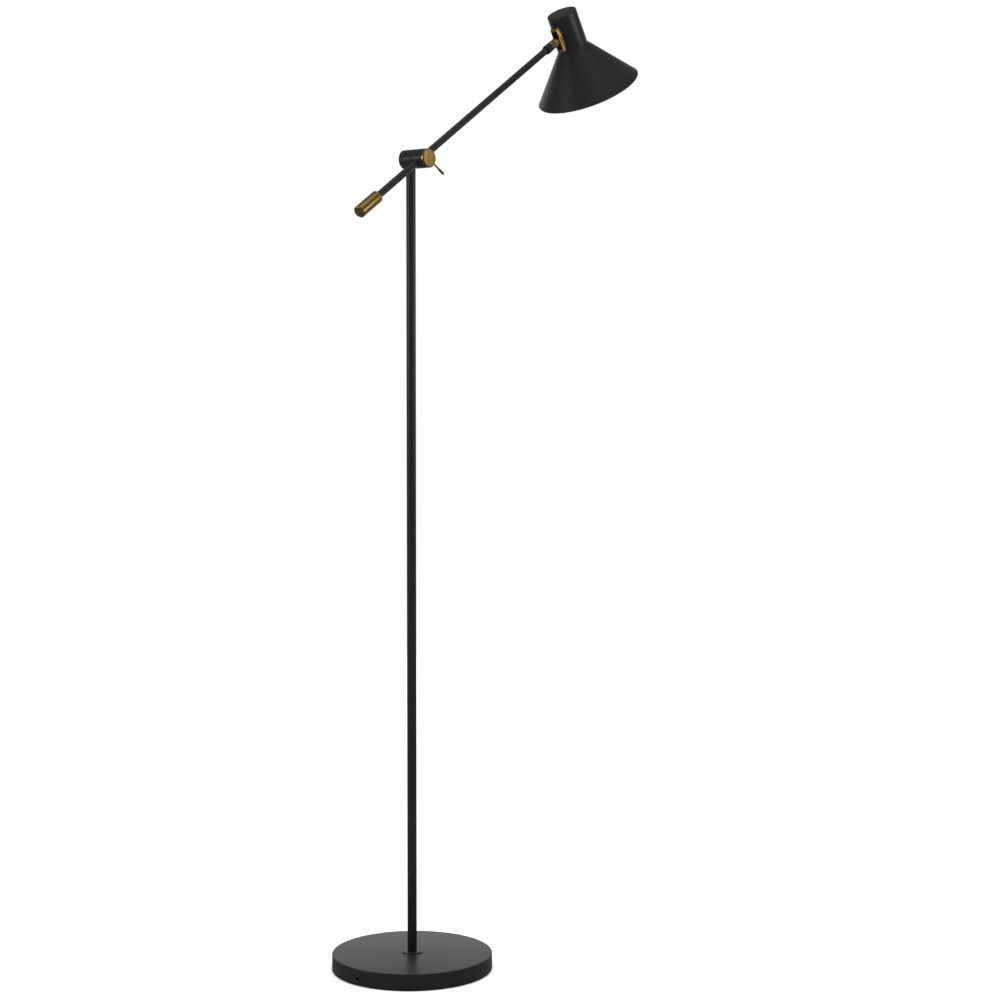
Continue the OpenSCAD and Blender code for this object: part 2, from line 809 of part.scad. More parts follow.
module holder_nipple() {
    color(STEEL) at_head() translate([cap_x, 0, holder_top_z - nipple_bite]) difference() {
        cylinder(d = nipple_d, h = nipple_top_z - holder_top_z + nipple_bite);
        translate([0, 0, -cut]) cylinder(d = nipple_bore, h = nipple_top_z);
    }
}

module holder_locknut() {
    color(STEEL) at_head() translate([cap_x, 0, holder_top_z + strap_t])
        hex_nut(locknut_af, nipple_d + 2 * fit_gap, locknut_t);
}

module holder_body() {
    color(PHENOLIC) at_head() translate([cap_x, 0, 0]) difference() {
        union() {
            translate([0, 0, cone_top_z]) puck(holder_d, holder_top_z - cone_top_z, holder_edge);
            translate([0, 0, cone_top_z]) cylinder(r = shoulder_r, h = shoulder_t);
            translate([0, 0, holder_low_z]) cylinder(d = skirt_d, h = cone_top_z - holder_low_z + cut);
        }
        translate([0, 0, holder_low_z - cut])
            cylinder(r = screw_shell_r + fit_gap, h = holder_floor_z - holder_low_z + cut);
        translate([0, 0, holder_top_z - nipple_bite])
            cylinder(d = nipple_d + 2 * fit_gap, h = nipple_bite + cut);
    }
}

module holder_shell() {
    shell_h = holder_floor_z - holder_low_z - 2 * shell_inset;
    color(BRASS) at_head() translate([cap_x, 0, holder_low_z + shell_inset]) difference() {
        cylinder(r = screw_shell_r, h = shell_h);
        translate([0, 0, -cut]) cylinder(r = screw_shell_r - screw_shell_t, h = shell_h + 2 * cut);
    }
}

module holder_contact() {
    color(BRASS) at_head() translate([cap_x, 0, holder_floor_z - contact_t])
        cylinder(r = contact_r, h = contact_t);
}

module head_lead() {
    color(LEAD) at_head() lead_run([
        [pin_standoff + 2 * lead_slip, 0, entry_z],
        [lead_rise_x, 0, entry_z],
        [lead_rise_x, 0, lead_over_z],
        [cap_x, 0, lead_over_z],
        [cap_x, 0, holder_top_z - nipple_bite / 2]
    ]);
}

// ---- Bulb ----

module bulb_glass() {
    // where a line from the neck's end meets the ball at a tangent
    reach = norm([glass_neck_r, flare_z - ball_z]);
    lean = atan2(flare_z - ball_z, glass_neck_r) - acos(ball_r / reach);
    meet_r = ball_r * cos(lean);
    meet_z = ball_z + ball_r * sin(lean);
    in_r = glass_neck_r - bulb_glass_t;
    color("#e9e6dc") at_head() translate([cap_x, 0, 0]) difference() {
        union() {
            translate([0, 0, ball_z]) sphere(r = ball_r);
            rotate_extrude() polygon([
                [0, neck_z], [glass_neck_r, neck_z], [glass_neck_r, flare_z],
                [meet_r, meet_z], [0, meet_z]
            ]);
        }
        translate([0, 0, ball_z]) sphere(r = ball_r - bulb_glass_t);
        rotate_extrude() polygon([
            [0, neck_z + cut], [in_r, neck_z + cut],
            [in_r, flare_z], [meet_r - bulb_glass_t, meet_z], [0, meet_z]
        ]);
    }
}

module bulb_cap() {
    color(STEEL) at_head() translate([cap_x, 0, 0]) difference() {
        union() {
            translate([0, 0, -bulb_cap_len]) cylinder(r = bulb_cap_r, h = bulb_cap_len - bulb_taper);
            translate([0, 0, -bulb_taper])
                cylinder(r1 = bulb_cap_r, r2 = bulb_tip_r, h = bulb_taper - bulb_tip_h);
        }
        translate([0, 0, -bulb_cap_len - cut])
            cylinder(r = bulb_cap_r - bulb_cap_t, h = bulb_cap_len - bulb_taper);
        translate([0, 0, -bulb_taper - bulb_web])
            cylinder(r = bulb_pin_r, h = bulb_taper + bulb_web + cut);
    }
}

module bulb_contact() {
    color(BRASS) at_head() translate([cap_x, 0, -bulb_tip_h - bulb_pin_len]) {
        cylinder(r = bulb_pin_r - fit_gap, h = bulb_pin_len);
        translate([0, 0, bulb_pin_len])
            cylinder(r1 = bulb_button_r, r2 = bulb_button_top_r, h = bulb_tip_h);
    }
}

floor_pad();
base_weight();
base_cover();
cord_bushing();
base_nut();
base_washer();
base_nipple();
foot_flange();
pole_plug();
pole();
pole_lead();
pivot_housing();
housing_set_screw();
friction_washer();
arm_hub();
upper_arm();
lower_arm();
counterweight();
weight_set_screw();
end_collar();
swivel_sleeve();
arm_lead();
knob_washer();
clamp_screw();
clamp_knob();
knob_lever();
knuckle();
swivel_nut();
tilt_bracket();
hinge_pin();
bracket_screws();
cap_shell();
shade_cone();
shade_ring();
holder_strap();
holder_nipple();
holder_locknut();
holder_body();
holder_shell();
holder_contact();
head_lead();
bulb_glass();
bulb_cap();
bulb_contact();
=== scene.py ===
"""Looks of an adjustable arm floor lamp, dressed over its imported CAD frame.

The lamp is black powder coated steel with turned brass fittings. Each sub-assembly is a class
that turns, spins or bevels its own pieces in millimetres and dresses them in their finishes.
"""

import json
import logging
import math
from dataclasses import dataclass
from enum import Enum

import bmesh
import bpy
from mathutils import Matrix, Vector


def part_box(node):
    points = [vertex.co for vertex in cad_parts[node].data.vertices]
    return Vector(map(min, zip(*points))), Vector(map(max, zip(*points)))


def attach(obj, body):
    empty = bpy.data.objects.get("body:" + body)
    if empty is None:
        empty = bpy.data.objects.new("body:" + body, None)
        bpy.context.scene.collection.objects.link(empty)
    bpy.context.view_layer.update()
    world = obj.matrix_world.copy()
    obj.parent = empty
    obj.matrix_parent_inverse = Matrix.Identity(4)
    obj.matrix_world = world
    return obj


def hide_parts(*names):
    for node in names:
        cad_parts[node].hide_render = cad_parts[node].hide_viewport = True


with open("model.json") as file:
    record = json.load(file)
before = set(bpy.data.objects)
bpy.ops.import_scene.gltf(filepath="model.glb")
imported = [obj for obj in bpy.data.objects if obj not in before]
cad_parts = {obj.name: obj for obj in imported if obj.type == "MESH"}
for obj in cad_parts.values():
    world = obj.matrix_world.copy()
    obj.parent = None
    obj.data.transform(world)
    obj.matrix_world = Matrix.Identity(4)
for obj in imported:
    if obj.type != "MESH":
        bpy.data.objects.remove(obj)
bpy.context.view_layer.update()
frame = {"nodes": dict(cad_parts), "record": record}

LOG = logging.getLogger("lamp")
MM = 0.001
AXIS_RADIUS_MM = 1e-4
SHARP_ANGLE = math.radians(32)
FLAT_ANGLE = math.radians(0.6)
WELD = 1e-6
BIT_SEGMENTS = 48
RIDGE_STEPS = 10
BEAD_STEPS = 20
# Share of a side that one of its two fillets may take.
MOST_OF_SIDE = 0.48

# Sockets of the colour form of the Mix node, which have the same names in all its forms.
MIX_SHARE, MIX_FIRST, MIX_SECOND, MIX_RESULT = 0, 6, 7, 2

Piece = bpy.types.Object
Mesh = bpy.types.Mesh
Tree = bpy.types.NodeTree
Node = bpy.types.Node
Socket = bpy.types.NodeSocket
Point = tuple[float, float]
Corner = tuple[float, float, float]

RECORD = frame["record"]
JOINTS = {joint["name"]: joint for joint in RECORD["behaviour"]["joints"]}
NODE_BODY = {node: body for body, nodes in RECORD["behaviour"]["bodies"].items() for node in nodes}
NODE_SLOT = {part["node"]: part["material_slot"] for part in RECORD["subparts"]}


# ---------------------------------------------------------------- placing


def basis(origin: Vector, x_axis: Vector, y_axis: Vector, z_axis: Vector) -> Matrix:
    """Makes a placement from an origin and three axes.

    Args:
        origin: Origin in metres.
        x_axis: Direction of the local X axis.
        y_axis: Direction of the local Y axis.
        z_axis: Direction of the local Z axis.

    Returns:
        The placement as a 4 x 4 matrix.
    """
    matrix = Matrix((x_axis, y_axis, z_axis)).transposed().to_4x4()
    matrix.translation = origin
    return matrix


HEAD_LEAN = math.radians(31.99)
UP = Vector((0, 0, 1))
PIVOT_POINT = Vector(JOINTS["arm_tilt"]["pos_m"])
PIN_POINT = Vector(JOINTS["head_tilt"]["pos_m"])
ARM_AXIS = Vector(JOINTS["head_swivel"]["axis"]).normalized()
CAP_OFFSET_MM = 30.73

QUARTER_TURN = Matrix.Rotation(math.pi / 2, 4, "Y")

# The pole's frame is the lamp's own. Along the pivot's blocks, local Z is the lamp's +Y.
POLE_FRAME = Matrix.Identity(4)
PIVOT_FRAME = basis(
    Vector((0, 0, PIVOT_POINT.z)), Vector((1, 0, 0)), Vector((0, 0, -1)), Vector((0, 1, 0))
)
# Along the arm, local Z runs up the arm from the pivot.
ARM_FRAME = basis(PIVOT_POINT, Vector((0, 1, 0)), ARM_AXIS.cross(Vector((0, 1, 0))), ARM_AXIS)
HEAD_FRAME = basis(
    PIN_POINT,
    Vector((math.cos(HEAD_LEAN), 0, math.sin(HEAD_LEAN))),
    Vector((0, 1, 0)),
    Vector((-math.sin(HEAD_LEAN), 0, math.cos(HEAD_LEAN))),
)
CAP_FRAME = HEAD_FRAME @ Matrix.Translation((CAP_OFFSET_MM * MM, 0, 0))


# ---------------------------------------------------------------- node trees


def linear(hex_colour: str) -> tuple[float, float, float, float]:
    """Turns an sRGB hex colour into a linear one.

    Args:
        hex_colour: Colour such as "#a0b1c2".

    Returns:
        Linear red, green, blue and an alpha of 1.
    """
    shares = [int(hex_colour[i:i + 2], 16) / 255 for i in (1, 3, 5)]
    curve = [s / 12.92 if s <= 0.04045 else ((s + 0.055) / 1.055) ** 2.4 for s in shares]
    return (*curve, 1.0)


def add(tree: Tree, kind: str, inputs: dict | None = None, **settings) -> Node:
    """Adds a node with its settings and links.

    Args:
        tree: Node tree that takes the node.
        kind: Node type name.
        inputs: Input name or number to a value, or to the socket that feeds it.
        settings: Node properties.

    Returns:
        The new node.
    """
    node = tree.nodes.new(kind)
    for name, value in settings.items():
        setattr(node, name, value)
    for key, value in (inputs or {}).items():
        if isinstance(value, Socket):
            tree.links.new(value, node.inputs[key])
        else:
            node.inputs[key].default_value = value
    return node


def bumped(
    tree: Tree, height: Socket, strength: float, depth_mm: float, under: Socket | None = None
) -> Socket:
    """Adds a bump to a material.

    Args:
        tree: Material's node tree.
        height: Pattern that raises the surface.
        strength: Share of the bump that is used.
        depth_mm: Depth of the pattern in millimetres.
        under: Normal of a coarser bump that lies under this one.

    Returns:
        The bumped normal.
    """
    inputs = {"Height": height, "Strength": strength, "Distance": depth_mm * MM}
    if under is not None:
        inputs["Normal"] = under
    return add(tree, "ShaderNodeBump", inputs).outputs["Normal"]


@dataclass(frozen=True)
class Finish:
    """A surface finish that builds one node-based material and keeps it.

    The base colour runs between colour and shade, and the roughness by spread either way.
    """

    name: str
    colour: str
    shade: str
    roughness: float
    spread: float

    def material(self) -> bpy.types.Material:
        """Builds the finish's material the first time it is asked for.

        Returns:
            The material.
        """
        known = bpy.data.materials.get(self.name)
        if known:
            return known
        material = bpy.data.materials.new(self.name)
        material.use_nodes = True
        tree = material.node_tree
        tree.nodes.clear()
        shader = add(tree, "ShaderNodeBsdfPrincipled")
        add(tree, "ShaderNodeOutputMaterial", {"Surface": shader.outputs["BSDF"]})
        self.paint(tree, shader)
        return material

    def paint(self, tree: Tree, shader: Node) -> None:
        """Adds the finish's own nodes. Each finish has its own.

        Args:
            tree: Material's node tree.
            shader: Its surface shader.
        """
        raise NotImplementedError

    def millimetres(self, tree: Tree) -> Socket:
        """Adds the object's coordinates in millimetres.

        Args:
            tree: Material's node tree.

        Returns:
            The coordinates.
        """
        place = add(tree, "ShaderNodeTexCoord")
        scaled = add(
            tree, "ShaderNodeVectorMath",
            {0: place.outputs["Object"], "Scale": 1 / MM}, operation="SCALE",
        )
        return scaled.outputs["Vector"]

    def noise(self, tree: Tree, where: Socket, size_mm: float, detail: float) -> Socket:
        """Adds a cloudy pattern.

        Args:
            tree: Material's node tree.
            where: Coordinates in millimetres.
            size_mm: Size of one blotch.
            detail: Octaves of finer blotches.

        Returns:
            The pattern, about 0.3 to 0.7.
        """
        pattern = add(
            tree, "ShaderNodeTexNoise", {"Vector": where, "Scale": 1 / size_mm, "Detail": detail}
        )
        return pattern.outputs["Fac"]

    def spread_to(self, tree: Tree, pattern: Socket, low: float, high: float) -> Socket:
        """Stretches a cloudy pattern to a new range.

        Args:
            tree: Material's node tree.
            pattern: Pattern of about 0.3 to 0.7.
            low: Value where the pattern is low.
            high: Value where it is high.

        Returns:
            The stretched pattern.
        """
        ranged = add(
            tree, "ShaderNodeMapRange",
            {"Value": pattern, "From Min": 0.3, "From Max": 0.7, "To Min": low, "To Max": high},
        )
        return ranged.outputs["Result"]

    def tint(self, tree: Tree, shader: Node, pattern: Socket) -> None:
        """Mixes the finish's colour and shade by a pattern into the base colour.

        Args:
            tree: Material's node tree.
            shader: Its surface shader.
            pattern: Pattern that chooses between the two.
        """
        share = self.spread_to(tree, pattern, 0.0, 1.0)
        mix = add(
            tree, "ShaderNodeMix",
            {MIX_SHARE: share, MIX_FIRST: linear(self.colour), MIX_SECOND: linear(self.shade)},
            data_type="RGBA",
        )
        tree.links.new(mix.outputs[MIX_RESULT], shader.inputs["Base Color"])

    def roughen(self, tree: Tree, shader: Node, pattern: Socket) -> None:
        """Lets a pattern move the roughness either way by the finish's spread.

        Args:
            tree: Material's node tree.
            shader: Its surface shader.
            pattern: Pattern that moves it.
        """
        low, high = self.roughness - self.spread, self.roughness + self.spread
        rough = self.spread_to(tree, pattern, low, high)
        tree.links.new(rough, shader.inputs["Roughness"])


@dataclass(frozen=True)
class PowderCoat(Finish):
    """Polyester powder, sprayed and baked: satin, with a slight orange peel and a fine grain."""

    grain_mm: float = 0.7
    peel_mm: float = 2.6
    tone_mm: float = 70.0
    grain_depth_mm: float = 0.012
    peel_depth_mm: float = 0.024
    shine: float = 0.2

    def paint(self, tree: Tree, shader: Node) -> None:
        """Adds tone, orange peel and grain.

        Args:
            tree: Material's node tree.
            shader: Its surface shader.
        """
        where = self.millimetres(tree)
        grain = self.noise(tree, where, self.grain_mm, 3.0)
        peel = self.noise(tree, where, self.peel_mm, 1.0)
        self.tint(tree, shader, self.noise(tree, where, self.tone_mm, 4.0))
        self.roughen(tree, shader, grain)
        waves = bumped(tree, peel, 0.2, self.peel_depth_mm)
        fine = bumped(tree, grain, 0.5, self.grain_depth_mm, waves)
        tree.links.new(fine, shader.inputs["Normal"])
        shader.inputs["Specular IOR Level"].default_value = self.shine


class Marks(Enum):
    """How a metal piece was worked, which sets the way its fine scratches run."""

    RINGS = "turned on a lathe"
    STROKES = "brushed along its length"
    NONE = "tumbled or plated"


@dataclass(frozen=True)
class WorkedMetal(Finish):
    """Bare or lacquered metal with tool marks, clouds of tarnish and small pits."""

    marks: Marks = Marks.RINGS
    mark_mm: float = 0.6
    tarnish_mm: float = 14.0
    depth_mm: float = 0.003
    pits_per_mm: float = 0.8
    stroke_stretch: float = 40.0
    turn: tuple[float, float, float] = (0.0, 0.0, 0.0)

    def paint(self, tree: Tree, shader: Node) -> None:
        """Adds tarnish, tool marks and pits.

        Args:
            tree: Material's node tree.
            shader: Its surface shader.
        """
        where = self.millimetres(tree)
        clouds = self.noise(tree, where, self.tarnish_mm, 5.0)
        self.tint(tree, shader, clouds)
        scratches = self.scratches(tree, where)
        self.roughen(tree, shader, scratches)
        pits = add(
            tree, "ShaderNodeTexVoronoi",
            {"Vector": where, "Scale": self.pits_per_mm, "Randomness": 1.0},
        )
        dents = add(
            tree, "ShaderNodeMapRange",
            {"Value": pits.outputs["Distance"], "From Max": 0.12, "To Max": 1.0},
        )
        pitted = bumped(tree, dents.outputs["Result"], 0.1, self.depth_mm)
        marked = bumped(tree, scratches, 0.3, self.depth_mm, pitted)
        tree.links.new(marked, shader.inputs["Normal"])
        shader.inputs["Metallic"].default_value = 1.0

    def scratches(self, tree: Tree, where: Socket) -> Socket:
        """Adds the tool marks.

        Args:
            tree: Material's node tree.
            where: Coordinates in millimetres.

        Returns:
            The marks as a pattern, about 0.3 to 0.7.
        """
        if self.marks is Marks.RINGS:
            outline = add(tree, "ShaderNodeUVMap", uv_map=OUTLINE_UV)
            along = add(tree, "ShaderNodeSeparateXYZ", {0: outline.outputs["UV"]})
            rings = add(
                tree, "ShaderNodeTexNoise",
                {"W": along.outputs["Y"], "Scale": 1 / (self.mark_mm * MM), "Detail": 3.0},
                noise_dimensions="1D",
            )
            return rings.outputs["Fac"]
        if self.marks is Marks.STROKES:
            fine = 1 / self.mark_mm
            turned = add(
                tree, "ShaderNodeMapping",
                {"Vector": where, "Rotation": self.turn,
                 "Scale": (fine / self.stroke_stretch, fine, fine)},
            )
            return self.noise(tree, turned.outputs["Vector"], 1.0, 3.0)
        return self.noise(tree, where, self.mark_mm * 3, 4.0)


@dataclass(frozen=True)
class Moulded(Finish):
    """A moulded or extruded plastic or fibre: smooth, with a faint mould grain and flow clouds."""

    grain_mm: float = 0.5
    flow_mm: float = 14.0
    depth_mm: float = 0.01
    ior: float = 1.5

    def paint(self, tree: Tree, shader: Node) -> None:
        """Adds flow clouds and mould grain.

        Args:
            tree: Material's node tree.
            shader: Its surface shader.
        """
        where = self.millimetres(tree)
        grain = self.noise(tree, where, self.grain_mm, 3.0)
        self.tint(tree, shader, self.noise(tree, where, self.flow_mm, 4.0))
        self.roughen(tree, shader, grain)
        tree.links.new(bumped(tree, grain, 0.4, self.depth_mm), shader.inputs["Normal"])
        shader.inputs["IOR"].default_value = self.ior


@dataclass(frozen=True)
class SandCast(Finish):
    """Grey iron as it leaves a sand mould: dark, dull and pebbled."""

    sand_mm: float = 1.1
    cloud_mm: float = 13.2
    depth_mm: float = 0.2

    def paint(self, tree: Tree, shader: Node) -> None:
        """Adds the print of the sand.

        Args:
            tree: Material's node tree.
            shader: Its surface shader.
        """
        where = self.millimetres(tree)
        sand = add(tree, "ShaderNodeTexVoronoi", {"Vector": where, "Scale": 1 / self.sand_mm})
        clouds = self.noise(tree, where, self.cloud_mm, 5.0)
        self.tint(tree, shader, clouds)
        self.roughen(tree, shader, clouds)
        pebbled = bumped(tree, sand.outputs["Distance"], 0.8, self.depth_mm)
        tree.links.new(pebbled, shader.inputs["Normal"])
        shader.inputs["Metallic"].default_value = 0.6


@dataclass(frozen=True)
class Felt(Finish):
    """Pressed wool felt: short tangled fibres with a soft sheen."""

    fibre_mm: float = 0.9
    depth_mm: float = 0.25
    tangle_turns: Point = (0.4, 1.9)

    def paint(self, tree: Tree, shader: Node) -> None:
        """Adds two tangles of fibres and their shadows.

        Args:
            tree: Material's node tree.
            shader: Its surface shader.
        """
        where = self.millimetres(tree)
        along, across = 0.25 / self.fibre_mm, 2 / self.fibre_mm
        tangles = []
        for turn in self.tangle_turns:
            bent = add(
                tree, "ShaderNodeMapping",
                {"Vector": where, "Rotation": (0.0, 0.0, turn), "Scale": (along, across, 1.0)},
            )
            fibres = add(
                tree, "ShaderNodeTexNoise",
                {"Vector": bent.outputs["Vector"], "Scale": 1.0, "Detail": 4.0, "Distortion": 1.5},
            )
            tangles.append(fibres.outputs["Fac"])
        both = add(tree, "ShaderNodeMath", {0: tangles[0], 1: tangles[1]}, operation="MAXIMUM")
        self.tint(tree, shader, both.outputs[0])
        self.roughen(tree, shader, both.outputs[0])
        tree.links.new(bumped(tree, both.outputs[0], 0.9, self.depth_mm), shader.inputs["Normal"])
        shader.inputs["Sheen Weight"].default_value = 0.4
        shader.inputs["Sheen Roughness"].default_value = 0.5


@dataclass(frozen=True)
class OpalGlass(Finish):
    """Glass flashed with a white inner coat: milky, glossy outside, faintly uneven."""

    cloud_mm: float = 11.0
    depth_mm: float = 0.2
    ior: float = 1.52

    def paint(self, tree: Tree, shader: Node) -> None:
        """Adds the cloudy coat under clear glass.

        Args:
            tree: Material's node tree.
            shader: Its surface shader.
        """
        where = self.millimetres(tree)
        clouds = self.noise(tree, where, self.cloud_mm, 3.0)
        self.tint(tree, shader, clouds)
        self.roughen(tree, shader, clouds)
        tree.links.new(bumped(tree, clouds, 0.15, self.depth_mm), shader.inputs["Normal"])
        shader.inputs["IOR"].default_value = self.ior
        shader.inputs["Coat Weight"].default_value = 0.6
        shader.inputs["Coat Roughness"].default_value = 0.04
        shader.inputs["Subsurface Weight"].default_value = 0.25
        shader.inputs["Subsurface Radius"].default_value = (0.004, 0.004, 0.004)


OUTLINE_UV = "outline"
ARM_TURN = (0.0, math.atan2(ARM_AXIS.z, ARM_AXIS.x), 0.0)

# Satin black polyester powder: near black, with soft wide highlights and a slight orange peel.
BLACK_COAT = PowderCoat("satin_black_powder_coat", "#1a1b1c", "#1e1f20", 0.36, 0.05)
# Matt white enamel inside the cone: warm white, with no highlight, to throw the light out.
WHITE_ENAMEL = PowderCoat("matt_white_reflector_enamel", "#e9e7e0", "#dedbd2", 0.5, 0.06)
# Brass turned on a lathe and aged: brown gold, with fine rings that widen its highlights.
TURNED_BRASS = WorkedMetal("turned_aged_brass", "#917648", "#866a3e", 0.36, 0.04)
# The same brass brushed along the arm: duller, with streaks.
BRUSHED_BRASS = WorkedMetal(
    "brushed_aged_brass", "#a48752", "#937541", 0.4, 0.05,
    marks=Marks.STROKES, mark_mm=0.5, turn=ARM_TURN,
)
# Unlacquered drawn brass for inside parts: brighter and yellower.
DRAWN_BRASS = WorkedMetal(
    "drawn_brass", "#cfae6a", "#bd9a57", 0.25, 0.05, marks=Marks.NONE, mark_mm=0.5
)
# Bright zinc on steel: pale blue grey, with a mottled gloss.
ZINC_STEEL = WorkedMetal(
    "zinc_plated_steel", "#b6b9bd", "#a3a6a8", 0.3, 0.08, marks=Marks.NONE, mark_mm=0.6
)
# Black oxide on steel: a dull blue black that still reads as metal.
BLACK_OXIDE = WorkedMetal(
    "black_oxide_steel", "#26272a", "#1d1d1f", 0.42, 0.08, marks=Marks.NONE, mark_mm=0.4
)
# Grey iron from a sand mould: dark grey, dull and pebbled.
GREY_IRON = SandCast("cast_grey_iron", "#3a3a3b", "#2b2a2a", 0.7, 0.1)
# Pressed black felt: no gloss, with tangled fibres and a soft edge of sheen.
BLACK_FELT = Felt("pressed_black_felt", "#1a1a1b", "#2e2e30", 0.9, 0.06)
# Vulcanised fibre: the dark brick red of friction washers, slightly waxy.
RED_FIBRE = Moulded("vulcanised_red_fibre", "#6d2f20", "#54241a", 0.55, 0.08)
# Moulded phenolic: a deep, hard black with a clear gloss.
PHENOLIC = Moulded("moulded_black_phenolic", "#101012", "#18181a", 0.28, 0.05, ior=1.6)
# Soft cable sheath: black with a dull, rubbery shine.
SHEATH = Moulded("soft_black_cable_sheath", "#141415", "#1c1c1d", 0.5, 0.07)
# Pale floor paint: almost white and dull, so that only a soft shadow shows.
STUDIO_FLOOR = PowderCoat("pale_studio_floor", "#f4f4f4", "#f1f1f1", 0.75, 0.03)
# Opal glass: milky white under a clear, glossy skin.
OPAL = OpalGlass("white_opal_glass", "#f3f1ea", "#e9e6dc", 0.22, 0.03)

SLOT_FINISH: dict[str, Finish] = {
    "black_powder_coat": BLACK_COAT,
    "aged_brass": BRUSHED_BRASS,
    "bright_brass": DRAWN_BRASS,
    "plated_steel": ZINC_STEEL,
    "black_oxide_steel": BLACK_OXIDE,
    "cast_iron": GREY_IRON,
    "felt": BLACK_FELT,
    "fibre": RED_FIBRE,
    "phenolic": PHENOLIC,
    "lead_sheath": SHEATH,
    "opal_glass": OPAL,
}


# ---------------------------------------------------------------- making meshes


def rounded(corners: list[Corner], closed: bool, steps: int = 5) -> list[Point]:
    """Rounds the corners of an outline with true arcs.

    Args:
        corners: Radius, height and fillet radius of each corner, in millimetres.
        closed: Whether the last corner joins the first.
        steps: Straight steps along each arc.

    Returns:
        The outline's points.
    """
    points: list[Point] = []
    count = len(corners)
    for index, (radius, height, fillet) in enumerate(corners):
        corner = Vector((radius, height))
        inner = closed or 0 < index < count - 1
        if fillet <= 0 or not inner:
            points.append((radius, height))
            continue
        back = Vector(corners[index - 1][:2]) - corner
        ahead = Vector(corners[(index + 1) % count][:2]) - corner
        half = back.angle(ahead) / 2
        room = MOST_OF_SIDE * min(back.length, ahead.length)
        cut = min(fillet / math.tan(half), room)
        bend = cut * math.tan(half)
        inward = (back.normalized() + ahead.normalized()).normalized()
        centre = corner + inward * (bend / math.sin(half))
        start = corner + back.normalized() * cut - centre
        sweep = start.angle_signed(corner + ahead.normalized() * cut - centre)
        for step in range(steps + 1):
            turned = start.copy()
            turned.rotate(Matrix.Rotation(-sweep * step / steps, 2))
            points.append(tuple(centre + turned))
    return points


def new_object(name: str, mesh: Mesh) -> Piece:
    """Puts a mesh in the scene as an object at the origin.

    Args:
        name: Name of the piece.
        mesh: Its mesh, already in place.

    Returns:
        The object.
    """
    piece = bpy.data.objects.new(name, mesh)
    bpy.context.scene.collection.objects.link(piece)
    return piece


def smooth(mesh: Mesh) -> None:
    """Shades a mesh smooth, except over its sharp edges.

    Args:
        mesh: Mesh that is shaded.
    """
    mesh.shade_smooth()
    mesh.set_sharp_from_angle(angle=SHARP_ANGLE)


def outward(mesh: Mesh, shape: bmesh.types.BMesh) -> None:
    """Turns a shape's faces outward, and stores it in a mesh.

    Args:
        mesh: Mesh that takes the shape.
        shape: Shape, which is used up.
    """
    bmesh.ops.recalc_face_normals(shape, faces=shape.faces)
    shape.to_mesh(mesh)
    shape.free()


def revolve(
    name: str, corners: list[Corner], place: Matrix, segments: int = 96, closed: bool = True
) -> Piece:
    """Turns an outline about its frame's Z axis.

    Args:
        name: Name of the piece.
        corners: Radius, height and fillet of each corner, in millimetres.
        place: Frame that the piece is turned in.
        segments: Steps round the axis.
        closed: Whether the outline is a loop. An open one starts and ends on the axis.

    Returns:
        The piece, with the distance along its outline in its UV map.
    """
    outline = rounded(corners, closed)
    if closed:
        outline.append(outline[0])
    shape = bmesh.new()
    uv_layer = shape.loops.layers.uv.new(OUTLINE_UV)
    rings, lengths, run = [], [], 0.0
    for index, (radius, height) in enumerate(outline):
        if index:
            run += (Vector(outline[index]) - Vector(outline[index - 1])).length
        lengths.append(run * MM)
        if closed and index == len(outline) - 1:
            rings.append(rings[0])
            continue
        count = 1 if radius < AXIS_RADIUS_MM else segments
        ring = []
        for step in range(count):
            angle = 2 * math.pi * step / segments
            spot = Vector((radius * math.cos(angle), radius * math.sin(angle), height)) * MM
            ring.append(shape.verts.new(place @ spot))
        rings.append(ring)
    for index in range(len(outline) - 1):
        low, high = rings[index], rings[index + 1]
        if len(low) == 1 and len(high) == 1:
            continue
        for step in range(segments):
            after = (step + 1) % segments
            loop = [
                (low[step % len(low)], step, lengths[index]),
                (low[after % len(low)], step + 1, lengths[index]),
                (high[after % len(high)], step + 1, lengths[index + 1]),
                (high[step % len(high)], step, lengths[index + 1]),
            ]
            if len(low) == 1:
                loop.pop(1)
            if len(high) == 1:
                loop.pop(-1)
            face = shape.faces.new([spot[0] for spot in loop])
            for corner, (_, turn, length) in zip(face.loops, loop):
                corner[uv_layer].uv = (turn / segments, length)
    mesh = bpy.data.meshes.new(name)
    outward(mesh, shape)
    smooth(mesh)
    return new_object(name, mesh)


def settle(piece: Piece) -> None:
    """Turns a piece's live modifiers into its plain mesh.

    Args:
        piece: Piece with modifiers.
    """
    graph = bpy.context.evaluated_depsgraph_get()
    mesh = bpy.data.meshes.new_from_object(piece.evaluated_get(graph))
    piece.modifiers.clear()
    piece.data = mesh
    smooth(mesh)


def drill(piece: Piece, diameter: float, start: float, end: float, place: Matrix) -> None:
    """Drills a round hole in a piece, along a frame's Z axis.

    Args:
        piece: Piece that is drilled.
        diameter: Diameter in millimetres.
        start: Where the hole starts along Z.
        end: Where it ends.
        place: Frame that it lies in.
    """
    radius = diameter / 2
    corners = [(0, start, 0), (radius, start, 0), (radius, end, 0), (0, end, 0)]
    bit = revolve("bit", corners, place, BIT_SEGMENTS, closed=False)
    cut = piece.modifiers.new("drill", "BOOLEAN")
    cut.operation, cut.solver, cut.object = "DIFFERENCE", "EXACT", bit
    settle(piece)
    bpy.data.objects.remove(bit)


def place_on(piece: Piece, node: str) -> Piece:
    """Puts a piece on a CAD node's body.

    Args:
        piece: Piece that is placed.
        node: CAD node.

    Returns:
        The piece.
    """
    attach(piece, NODE_BODY[node])
    return piece


